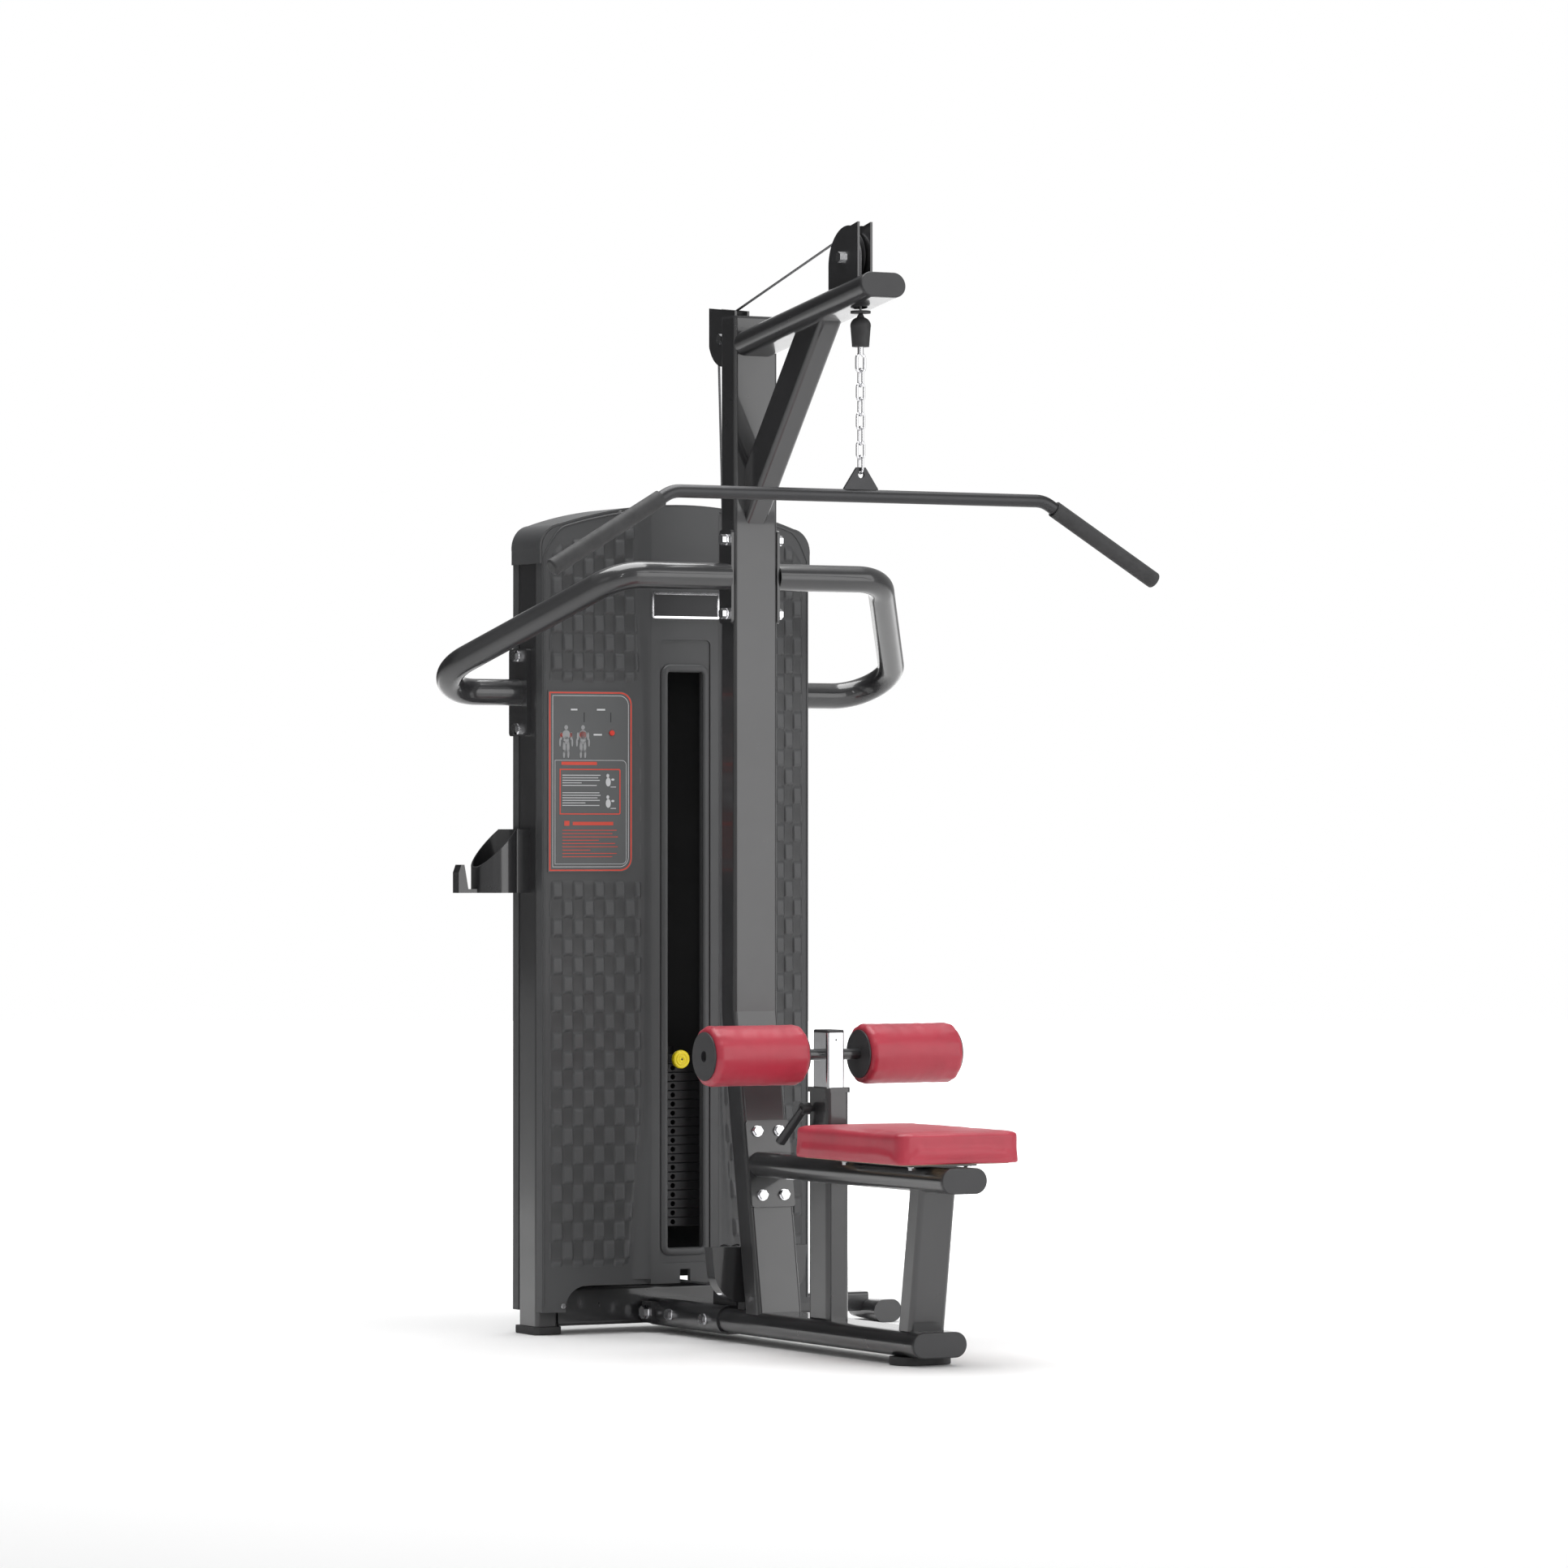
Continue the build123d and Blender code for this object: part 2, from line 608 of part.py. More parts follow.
with BuildPart() as post:
    with BuildSketch(Plane.XY.offset(BASE_TOP)):
        with Locations((0, POST_Y)):
            add(box_ring(POST, 10, WALL))
    extrude(amount=POST_TOP - BASE_TOP)
    with BuildSketch(Plane.XY.offset(POST_TOP)):
        with Locations((0, POST_Y)):
            RectangleRounded(POST[0] + 6, POST[1] + 6, 10)
            RectangleRounded(INNER_POST[0] + 0.8, INNER_POST[1] + 0.8, 6.4, mode=Mode.SUBTRACT)
    extrude(amount=10)
    chamfer(post.faces().sort_by(Axis.Z)[-1].outer_wire().edges(), 1.5)
    with BuildSketch(facing_right(-30)):
        with Locations((POST_Y + 22, 483)):
            Circle(6.3)
    extrude(amount=20, mode=Mode.SUBTRACT)

with BuildPart() as inner_post:
    with BuildSketch(Plane.XY.offset(200)):
        with Locations((0, POST_Y)):
            add(box_ring(INNER_POST, 6, 2.5))
    extrude(amount=INNER_POST_TOP - 200)
    with BuildSketch(facing_right(-40)):
        with Locations((POST_Y, ROLLER_Z)):
            Circle(ROD_R)
    extrude(amount=80, mode=Mode.SUBTRACT)
    with BuildSketch(facing_front(POST_Y)):
        with Locations((0, INNER_POST_TOP - 14)):
            Circle(2)
    extrude(amount=40, mode=Mode.SUBTRACT)

with BuildPart() as inner_post_cap:
    with BuildSketch(Plane.XY.offset(INNER_POST_TOP)):
        with Locations((0, POST_Y)):
            RectangleRounded(*INNER_POST, 6)
    extrude(amount=6)
    fillet(inner_post_cap.faces().sort_by(Axis.Z)[-1].edges(), 3)

LEVER_PIVOT = (POST_Y + 22, 483.0)
LEVER_WAY = (-0.2, 0.66, -0.72)
with BuildPart() as clamp_lever:
    with BuildSketch(facing_right(-33)):
        with Locations(LEVER_PIVOT):
            Circle(6)
    extrude(amount=10)
    with BuildSketch(facing_right(-50)):
        with Locations(LEVER_PIVOT):
            Circle(12)
    extrude(amount=17)
    with BuildSketch(Plane(origin=(-44, *LEVER_PIVOT), x_dir=(1, 0, 0), z_dir=LEVER_WAY)):
        SlotOverall(20, 12)
    with BuildSketch(Plane(origin=(-63, LEVER_PIVOT[0] + 63, 414), x_dir=(1, 0, 0), z_dir=LEVER_WAY)):
        SlotOverall(22, 16)
    loft()

# ---- seat ----
SEAT_BOX = (270.0, 424.0)
SEAT_CORNER_R = 24.0
SEAT_CENTRE_Y = -452.0
SEAT_BOTTOM = 393.0
SEAT_TOP = 455.0
BOARD = (244.0, 400.0, 12.0)
SEAT_SCREWS = [(x, SEAT_CENTRE_Y + y) for x in (-62, 62) for y in (-130, 130)]
with BuildPart() as seat_bracket:
    with BuildSketch(Plane.XY.offset(SEAT_TUBE_TOP)):
        with Locations((0, SEAT_CENTRE_Y)):
            RectangleRounded(150, 300, 8)
        with Locations(*SEAT_SCREWS):
            Circle(4.1, mode=Mode.SUBTRACT)
    extrude(amount=SEAT_BOTTOM - SEAT_TUBE_TOP)

with BuildPart() as seat_board:
    with BuildSketch(Plane.XY.offset(SEAT_BOTTOM)):
        with Locations((0, SEAT_CENTRE_Y)):
            RectangleRounded(BOARD[0], BOARD[1], 20)
    extrude(amount=BOARD[2])

with BuildPart() as seat_pad:
    with BuildSketch(Plane.XY.offset(SEAT_BOTTOM)):
        with Locations((0, SEAT_CENTRE_Y)):
            RectangleRounded(*SEAT_BOX, SEAT_CORNER_R)
    extrude(amount=SEAT_TOP - SEAT_BOTTOM)
    fillet(seat_pad.faces().sort_by(Axis.Z)[-1].edges(), 8)
    with BuildSketch(Plane.XY.offset(SEAT_BOTTOM)):
        with Locations((0, SEAT_CENTRE_Y)):
            RectangleRounded(BOARD[0], BOARD[1], 20)
    extrude(amount=BOARD[2], mode=Mode.SUBTRACT)


# ---- thigh rollers ----
ROD_HALF = ROLLER_INNER_X + ROLLER_LENGTH - 6
with BuildPart() as roller_rod:
    with BuildSketch(facing_right(-ROD_HALF)):
        with Locations((POST_Y, ROLLER_Z)):
            Circle(ROD_R - RUNNING_FIT)
    extrude(amount=2 * ROD_HALF)


def roller_foam(side):
    """A thick foam sleeve on one side of the thigh-pad post."""
    start = ROLLER_INNER_X if side > 0 else -ROLLER_INNER_X - ROLLER_LENGTH
    with BuildPart() as foam:
        with BuildSketch(facing_right(start)):
            with Locations((POST_Y, ROLLER_Z)):
                Circle(ROLLER_R)
        extrude(amount=ROLLER_LENGTH)
        fillet(foam.edges().filter_by(GeomType.CIRCLE), 11)
        with BuildSketch(facing_right(start)):
            with Locations((POST_Y, ROLLER_Z)):
                Circle(24)
        extrude(amount=ROLLER_LENGTH, mode=Mode.SUBTRACT)
    return foam


def roller_caps(side):
    """The two moulded end discs of one roller, each with a hub inside the foam."""
    near = side * ROLLER_INNER_X
    far = side * (ROLLER_INNER_X + ROLLER_LENGTH)
    with BuildPart() as caps:
        for x, out in ((near, -side), (far, side)):
            with BuildSketch(Plane(origin=(x, POST_Y, ROLLER_Z), z_dir=(out, 0, 0))):
                Circle(ROLLER_CAP[0])
                Circle(ROD_R, mode=Mode.SUBTRACT)
            extrude(amount=ROLLER_CAP[1])
            with BuildSketch(Plane(origin=(x, POST_Y, ROLLER_Z), z_dir=(-out, 0, 0))):
                Circle(ROLLER_HUB[0])
                Circle(ROD_R, mode=Mode.SUBTRACT)
            extrude(amount=ROLLER_HUB[1])
    return caps


roller_left_pad = roller_foam(-1)
roller_right_pad = roller_foam(1)
roller_left_caps = roller_caps(-1)
roller_right_caps = roller_caps(1)

# ---- weight stack ----
with BuildPart() as guide_rods:
    with BuildSketch(Plane.XY.offset(CROSS_TOP)):
        with Locations((-ROD_X, TOWER_Y), (ROD_X, TOWER_Y)):
            Circle(GUIDE_ROD_R)
    extrude(amount=BEAM_Z - CROSS_TOP)

with BuildPart() as stack_cushions:
    with BuildSketch(Plane.XY.offset(CROSS_TOP)):
        with Locations((-ROD_X, TOWER_Y), (ROD_X, TOWER_Y)):
            Circle(30)
            Circle(GUIDE_ROD_R + 0.5, mode=Mode.SUBTRACT)
    extrude(amount=STACK_Z - CROSS_TOP)


def plate_blank():
    """One weight plate with its bottom at z = 0: rod holes, stem hole and the front pin hole."""
    with BuildPart() as blank:
        with BuildSketch():
            with Locations((0, TOWER_Y)):
                RectangleRounded(PLATE[0], PLATE[1], 5)
            with Locations((-ROD_X, TOWER_Y), (ROD_X, TOWER_Y)):
                Circle(GUIDE_ROD_R + 0.75, mode=Mode.SUBTRACT)
            with Locations((0, TOWER_Y)):
                Circle(STEM_R + 1, mode=Mode.SUBTRACT)
        extrude(amount=PLATE[2])
        with BuildSketch(facing_front(TOWER_Y, z=PLATE[2] / 2)):
            Circle(PIN_R + PIN_CLEARANCE)
        extrude(amount=PLATE[1], mode=Mode.SUBTRACT)
        chamfer(blank.faces().sort_by(Axis.Y)[0].outer_wire().edges().filter_by(Axis.X), 1.5)
    return blank.part


WEIGHT_PLATE = plate_blank()
with BuildPart() as weight_plates:
    with Locations(*[(0, 0, STACK_Z + PLATE_PITCH * i) for i in range(PLATE_COUNT)]):
        add(WEIGHT_PLATE)

HEAD_Z = STACK_Z + PLATE_PITCH * PLATE_COUNT
PIN_Z = HEAD_Z + PLATE[2] / 2
with BuildPart() as head_plate:
    with BuildSketch(Plane.XY.offset(HEAD_Z)):
        with Locations((0, TOWER_Y)):
            RectangleRounded(PLATE[0], PLATE[1], 5)
        with Locations((-ROD_X, TOWER_Y), (ROD_X, TOWER_Y)):
            Circle(GUIDE_ROD_R + 0.75, mode=Mode.SUBTRACT)
        with Locations((0, TOWER_Y)):
            Circle(STEM_R, mode=Mode.SUBTRACT)
    extrude(amount=PLATE[2])
    with BuildSketch(Plane.XY.offset(HEAD_Z + PLATE[2])):
        with Locations((-ROD_X, TOWER_Y), (ROD_X, TOWER_Y)):
            Circle(24)
            Circle(GUIDE_ROD_R + 0.75, mode=Mode.SUBTRACT)
        with Locations((0, TOWER_Y)):
            Circle(26)
            Circle(STEM_R, mode=Mode.SUBTRACT)
    extrude(amount=16)
    with BuildSketch(facing_front(TOWER_Y, z=PIN_Z)):
        Circle(PIN_R + PIN_CLEARANCE)
    extrude(amount=PLATE[1], mode=Mode.SUBTRACT)

ANCHOR_Z = HEAD_Z + 42
ANCHOR_TOP = ANCHOR_Z + 36
with BuildPart() as selector_stem:
    with BuildSketch(Plane.XY.offset(STACK_Z + 6)):
        with Locations((0, TOWER_Y)):
            Circle(STEM_R)
    extrude(amount=ANCHOR_Z - STACK_Z - 6)
    with BuildSketch(Plane.XY.offset(ANCHOR_Z)):
        with Locations((0, TOWER_Y)):
            RegularPolygon(15, 6)
    extrude(amount=14)
    with BuildSketch(Plane.XY.offset(ANCHOR_Z)):
        with Locations((0, TOWER_Y)):
            Circle(7)
    extrude(amount=ANCHOR_TOP - ANCHOR_Z)
    with BuildSketch(facing_front(TOWER_Y + 40)):
        with Locations(*[(0, STACK_Z + PLATE_PITCH * i + PLATE[2] / 2) for i in range(PLATE_COUNT + 1)]):
            Circle(PIN_R + PIN_CLEARANCE)
    extrude(amount=80, mode=Mode.SUBTRACT)

PIN_REAR_Y = TOWER_Y + 8
KNOB_Y = 493.0
with BuildPart() as selector_pin:
    with BuildSketch(facing_front(PIN_REAR_Y, z=PIN_Z)):
        Circle(PIN_R)
    extrude(amount=PIN_REAR_Y - KNOB_Y)

with BuildPart() as pin_knob:
    with BuildSketch(facing_front(KNOB_Y, z=PIN_Z)):
        Circle(19)
    extrude(amount=13)
    fillet(pin_knob.edges().filter_by(GeomType.CIRCLE), 3.5)

# ---- pulleys, brackets and axles ----


def arm_top(y):
    """Height of the arm's flat top at depth y."""
    slope = math.tan(math.radians(ARM_TILT))
    return ARM_START[1] + (ARM_START[0] - y) * slope + SEAT_OVAL[1] / 2 / math.cos(math.radians(ARM_TILT))


with BuildSketch() as front_outline:
    with BuildLine():
        Line((-172, arm_top(-172)), (-290, arm_top(-290)))
        Line((-290, arm_top(-290)), (-290, 2236))
        Line((-290, 2236), (-262, 2230))
        ThreePointArc((-262, 2230), (-192, 2206), (-172, 2150))
        Line((-172, 2150), (-172, arm_top(-172)))
    make_face()

REAR_TOP = 2107.0
with BuildSketch() as rear_outline:
    with BuildLine():
        Line((COLUMN_REAR_Y, 1984), (COLUMN_REAR_Y, REAR_TOP - 12))
        Line((COLUMN_REAR_Y, REAR_TOP - 12), (330, REAR_TOP))
        Line((330, REAR_TOP), (330, 2028))
        ThreePointArc((330, 2028), (300, 1992), (260, 1984))
        Line((260, 1984), (COLUMN_REAR_Y, 1984))
    make_face()

SLEEVE_TOP = BASE_TOP + 4
lower_front_outline = hung_outline(
    [(212, SLEEVE_TOP), (312, SLEEVE_TOP), (308, 140), (216, 140)], LOWER_FRONT_PULLEY, 47
)
lower_rear_outline = hung_outline(
    [(552, CROSS_TOP), (608, CROSS_TOP), (655, 130), (567, 140)], LOWER_REAR_PULLEY, 47
)
tower_outline = hung_outline(
    [(546, BEAM_Z), (601, BEAM_Z), (655, 1500), (567, 1480)], TOWER_PULLEY, 47
)

with BuildPart() as front_pulley_bracket:
    add(plate_pair(front_outline.sketch, FRONT_PULLEY))
with BuildPart() as rear_pulley_bracket:
    add(plate_pair(rear_outline.sketch, REAR_PULLEY))
with BuildPart() as lower_pulley_brackets:
    add(plate_pair(lower_front_outline, LOWER_FRONT_PULLEY))
    add(plate_pair(lower_rear_outline, LOWER_REAR_PULLEY))
with BuildPart() as tower_pulley_bracket:
    add(plate_pair(tower_outline, TOWER_PULLEY))

PULLEYS = {
    "front_pulley": (FRONT_PULLEY, TOP_PULLEY_R),
    "rear_pulley": (REAR_PULLEY, TOP_PULLEY_R),
    "lower_front_pulley": (LOWER_FRONT_PULLEY, LOW_PULLEY_R),
    "lower_rear_pulley": (LOWER_REAR_PULLEY, LOW_PULLEY_R),
    "tower_pulley": (TOWER_PULLEY, LOW_PULLEY_R),
}
WHEELS = {radius: wheel(radius) for radius in (TOP_PULLEY_R, LOW_PULLEY_R)}


def placed_wheel(centre, radius):
    """A cable wheel at one axle."""
    with BuildPart() as placed:
        with Locations((0, *centre)):
            add(WHEELS[radius])
    return placed


pulley_pieces = {name: placed_wheel(*spec) for name, spec in PULLEYS.items()}

AXLE_END = BRACKET_GAP + BRACKET_PLATE
with BuildPart() as pulley_axles:
    for centre, radius in PULLEYS.values():
        with BuildSketch(facing_right(-AXLE_END)):
            with Locations(centre):
                Circle(AXLE_R)
        extrude(amount=2 * AXLE_END)
        for side in (-1, 1):
            with BuildSketch(Plane(origin=(side * AXLE_END, *centre), z_dir=(side, 0, 0))):
                RegularPolygon(9.5, 6, major_radius=False)
            extrude(amount=8)

# ---- steel cable ----


def tangent_point(centre, radius, angle):
    """A point on a pulley at an angle in the YZ plane, degrees from +Y towards +Z."""
    a = math.radians(angle)
    return (0, centre[0] + radius * math.cos(a), centre[1] + radius * math.sin(a))


CABLE_FALL = math.degrees(math.atan2(FRONT_PULLEY[1] - REAR_PULLEY[1], REAR_PULLEY[0] - FRONT_PULLEY[0]))
OVER = 90 - CABLE_FALL
DROP = (REAR_PULLEY[0] - LOWER_FRONT_PULLEY[0], REAR_PULLEY[1] - LOWER_FRONT_PULLEY[1])
LEAN = math.degrees(math.asin((TOP_PULLEY_R + LOW_PULLEY_R) / math.hypot(*DROP)) + math.atan2(*DROP))

with BuildPart() as main_cable:
    with BuildLine() as cable_path:
        start = tangent_point(FRONT_PULLEY, TOP_PULLEY_R, 180)
        crest = tangent_point(FRONT_PULLEY, TOP_PULLEY_R, OVER)
        ThreePointArc(start, tangent_point(FRONT_PULLEY, TOP_PULLEY_R, (180 + OVER) / 2), crest)
        landing = tangent_point(REAR_PULLEY, TOP_PULLEY_R, OVER)
        Line(crest, landing)
        behind = tangent_point(REAR_PULLEY, TOP_PULLEY_R, -LEAN)
        ThreePointArc(landing, tangent_point(REAR_PULLEY, TOP_PULLEY_R, (OVER - LEAN) / 2), behind)
        down = tangent_point(LOWER_FRONT_PULLEY, LOW_PULLEY_R, 180 - LEAN)
        Line(behind, down)
        under = tangent_point(LOWER_FRONT_PULLEY, LOW_PULLEY_R, 270)
        ThreePointArc(down, tangent_point(LOWER_FRONT_PULLEY, LOW_PULLEY_R, 225 - LEAN / 2), under)
        rear_under = tangent_point(LOWER_REAR_PULLEY, LOW_PULLEY_R, 270)
        Line(under, rear_under)
        rear_up = tangent_point(LOWER_REAR_PULLEY, LOW_PULLEY_R, 0)
        ThreePointArc(rear_under, tangent_point(LOWER_REAR_PULLEY, LOW_PULLEY_R, 315), rear_up)
        tower_up = tangent_point(TOWER_PULLEY, LOW_PULLEY_R, 0)
        Line(rear_up, tower_up)
        over = tangent_point(TOWER_PULLEY, LOW_PULLEY_R, 90)
        ThreePointArc(tower_up, over, tangent_point(TOWER_PULLEY, LOW_PULLEY_R, 180))
    with BuildSketch(Plane(origin=start, z_dir=(0, 0, 1))):
        Circle(CABLE_R)
    sweep(path=cable_path.wires()[0])

STOP_DISC_Z = 2056.0
with BuildPart() as bar_cable:
    with BuildSketch(Plane.XY.offset(STOP_DISC_Z + 5)):
        with Locations((0, BAR_Y)):
            Circle(CABLE_R)
    extrude(amount=FRONT_PULLEY[1] - STOP_DISC_Z - 5)

with BuildPart() as stack_cable:
    with BuildSketch(Plane.XY.offset(ANCHOR_TOP)):
        with Locations((0, TOWER_Y)):
            Circle(CABLE_R)
    extrude(amount=TOWER_PULLEY[1] - ANCHOR_TOP)

# ---- cable end, chain and lat bar ----
BULLET_TOP = 2048.0
BULLET_BOTTOM = 1990.0
SWIVEL_R = 6.0
SWIVEL_DEPTH = 30.0
with BuildPart() as bullet_cover:
    with BuildSketch(facing_right(0)):
        with BuildLine():
            shoulder = (BAR_Y + 20, BULLET_BOTTOM + 38)
            neck = (BAR_Y + 8, BULLET_TOP)
            Polyline((BAR_Y, BULLET_BOTTOM), (BAR_Y + 17, BULLET_BOTTOM), shoulder)
            ThreePointArc(shoulder, (BAR_Y + 16, BULLET_TOP - 5), neck)
            Polyline(neck, (BAR_Y + 4, STOP_DISC_Z), (BAR_Y, STOP_DISC_Z), (BAR_Y, BULLET_BOTTOM))
        make_face()
    revolve(axis=Axis((0, BAR_Y, 0), (0, 0, 1)))
    with BuildSketch(Plane.XY.offset(STOP_DISC_Z)):
        with Locations((0, BAR_Y)):
            Circle(20)
    extrude(amount=5)
    with BuildSketch(Plane.XY.offset(BULLET_BOTTOM)):
        with Locations((0, BAR_Y)):
            Circle(SWIVEL_R + RUNNING_FIT)
    extrude(amount=SWIVEL_DEPTH, mode=Mode.SUBTRACT)

SHACKLE = (42.0, 24.0, 3.2)
SHACKLE_Z = BULLET_BOTTOM - 32
with BuildPart() as swivel_shackle:
    with BuildSketch(Plane.XY.offset(SHACKLE_Z + SHACKLE[0] / 2 - 5)):
        with Locations((0, BAR_Y)):
            Circle(SWIVEL_R)
    extrude(amount=BULLET_BOTTOM + SWIVEL_DEPTH - 1 - SHACKLE_Z - SHACKLE[0] / 2 + 5)
    with Locations((0, BAR_Y, SHACKLE_Z)):
        add(link(*SHACKLE))

WIRE_R = 2.5
LINK = (39.0, 21.0)
LINK_SLACK = 0.4
CHAIN_LINKS = 7
CHAIN_TOP = SHACKLE_Z - SHACKLE[0] / 2 + 2 * SHACKLE[2] + LINK_SLACK + 2 * WIRE_R - LINK[0] / 2
CHAIN_FLOOR = EYE_Z + 3.0 - WIRE_R + LINK[0] / 2
LINK_PITCH = (CHAIN_TOP - CHAIN_FLOOR) / (CHAIN_LINKS - 1)
CHAIN_LINK = link(*LINK, WIRE_R)
with BuildPart() as chain:
    for i in range(CHAIN_LINKS):
        turn = 90 if i % 2 == 0 else 0
        with Locations(Location((0, BAR_Y, CHAIN_TOP - LINK_PITCH * i), (0, 0, turn))):
            add(CHAIN_LINK)

with BuildPart() as bar_tab:
    with BuildSketch(facing_front(BAR_Y + 3)):
        with BuildLine():
            left_edge = [(-38, BAR_Z + 15), (-38, BAR_Z)]
            Polyline((-38, BAR_Z), (38, BAR_Z), (38, BAR_Z + 15), (10, TAB_TOP), (-10, TAB_TOP), *left_edge)
        make_face()
        with Locations((0, EYE_Z)):
            Circle(EYE_R, mode=Mode.SUBTRACT)
    extrude(amount=6)
    with BuildSketch(facing_right(-50)):
        with Locations((BAR_Y, BAR_Z)):
            Circle(BAR_R)
    extrude(amount=100, mode=Mode.SUBTRACT)

GRIP_R = 17.0
GRIP_START = 0.10  # share of the drop's length
TUBE_END = 0.985
SLOPE = Vector(BAR_TIP[0] - BAR_BEND_X, 0, BAR_TIP[1] - BAR_Z)


def bar_point(share):
    """A point along the right-hand drop of the lat bar, as a share of its length."""
    return Vector(BAR_BEND_X, BAR_Y, BAR_Z) + SLOPE * share


with BuildPart() as lat_bar:
    tip = bar_point(TUBE_END)
    with BuildLine() as bar_path:
        FilletPolyline(
            (-tip.X, tip.Y, tip.Z),
            (-BAR_BEND_X, BAR_Y, BAR_Z),
            (BAR_BEND_X, BAR_Y, BAR_Z),
            (tip.X, tip.Y, tip.Z),
            radius=60,
        )
    with BuildSketch(Plane(origin=(-tip.X, tip.Y, tip.Z), z_dir=(SLOPE.X, 0, -SLOPE.Z))):
        Circle(BAR_R)
        Circle(BAR_R - 3, mode=Mode.SUBTRACT)
    sweep(path=bar_path.wires()[0])


with BuildPart() as grip_sleeve:
    with BuildSketch():
        Circle(GRIP_R)
    extrude(amount=SLOPE.length * (1 - GRIP_START))
    fillet(grip_sleeve.faces().sort_by(Axis.Z)[-1].edges(), 5)
    with BuildSketch():
        Circle(BAR_R)
    extrude(amount=SLOPE.length * (TUBE_END - GRIP_START), mode=Mode.SUBTRACT)

with BuildPart() as grips:
    begin = bar_point(GRIP_START)
    for side in (-1, 1):
        along = Vector(side * SLOPE.X, 0, SLOPE.Z)
        with Locations(Plane(origin=(side * begin.X, begin.Y, begin.Z), z_dir=along).location):
            add(grip_sleeve.part)

# ---- handles ----
COLUMN_PLATE = 6.0
TOWER_PLATE = 10.0


def handle(side):
    """A bent guard tube with its flange on the column and its flange on the tower."""
    start_x = side * (COLUMN[0] / 2 + COLUMN_PLATE)
    end_x = side * (TOWER_HALF_WIDTH + TOWER_PLATE)
    with BuildPart() as tube:
        with BuildLine() as route:
            FilletPolyline(
                (start_x, 180, HANDLE_Z),
                (side * 300, 180, HANDLE_Z),
                (side * 575, HANDLE_FLANGE_Y, HANDLE_LOW_Z),
                (end_x, HANDLE_FLANGE_Y, HANDLE_LOW_Z),
                radius=90,
            )
        with BuildSketch(Plane(origin=(start_x, 180, HANDLE_Z), z_dir=(side, 0, 0))):
            Circle(HANDLE_R)
            Circle(HANDLE_R - WALL, mode=Mode.SUBTRACT)
        sweep(path=route.wires()[0])
        with BuildSketch(Plane(origin=(start_x, 187, HANDLE_Z), x_dir=(0, 1, 0), z_dir=(-side, 0, 0))):
            RectangleRounded(52, 190, 8)
            with Locations(*[(HANDLE_BOLT_Y - 187, z) for z in (-75, 75)]):
                Circle(6.1, mode=Mode.SUBTRACT)
        extrude(amount=COLUMN_PLATE)
        flange = Plane(origin=(end_x, HANDLE_FLANGE_Y, HANDLE_LOW_Z), x_dir=(0, 1, 0), z_dir=(-side, 0, 0))
        with BuildSketch(flange):
            RectangleRounded(82, 180, 8)
            with Locations((0, -75), (0, 75)):
                Circle(6.1, mode=Mode.SUBTRACT)
        extrude(amount=TOWER_PLATE)
    return tube


handle_left = handle(-1)
handle_right = handle(1)

# ---- bolts of the fixed frame ----


def bolts_at(bolt, places):
    """Copies of one bolt, each on its own plane."""
    with BuildPart() as group:
        for plane in places:
            with Locations(plane.location):
                add(bolt)
    return group.part


def sideways(x, y, z):
    """A bolt plane facing away from the mid-plane."""
    return Plane(origin=(x, y, z), z_dir=(math.copysign(1, x), 0, 0))


SIDES = (-1, 1)
COLUMN_BOLT_X = COLUMN[0] / 2 + COLUMN_PLATE
TOWER_BOLT_X = TOWER_HALF_WIDTH + TOWER_PLATE
sleeve_places = [sideways(s * 64.0, y, BASE_Z) for s in SIDES for y in SLEEVE_BOLTS_Y]
ear_places = [sideways(s * EAR_FACE_X, EAR_Y, BASE_Z) for s in SIDES]
column_places = [sideways(s * COLUMN_BOLT_X, HANDLE_BOLT_Y, z) for s in SIDES for z in HANDLE_BOLTS_Z]
tower_places = [
    sideways(s * TOWER_BOLT_X, HANDLE_FLANGE_Y, HANDLE_LOW_Z + z) for s in SIDES for z in (-75, 75)
]
mount_face = LEG_FACE.offset(MOUNT_PLATE)
mount_places = [Plane(mount_face.location * Location((x, y, 0))) for x, y in MOUNT_BOLTS]
seat_places = [Plane(origin=(x, y, SEAT_TUBE_TOP), z_dir=(0, 0, -1)) for x, y in SEAT_SCREWS]
tab_places = [
    facing_front(sagitta_y(x, FRONT_EDGE_Y, FRONT_BOW) - 1, x=x, z=z) for x, z in TAB_HOLES
]

with BuildPart() as frame_bolts:
    add(bolts_at(hex_bolt(19, 8, 6, 3.9), sleeve_places))
    add(bolts_at(hex_bolt(24, 10, 8, 6), ear_places))
    add(bolts_at(hex_bolt(19, 12, 6, COLUMN_PLATE), column_places))
    add(bolts_at(hex_bolt(19, 9, 6, TOWER_PLATE), tower_places))
    add(bolts_at(hex_bolt(18, 7, 6, MOUNT_PLATE), mount_places))
    add(bolts_at(hex_bolt(13, 5, 4, SEAT_BOTTOM - SEAT_TUBE_TOP), seat_places))
    add(bolts_at(hex_bolt(9, 2, 3.9, 4), tab_places))

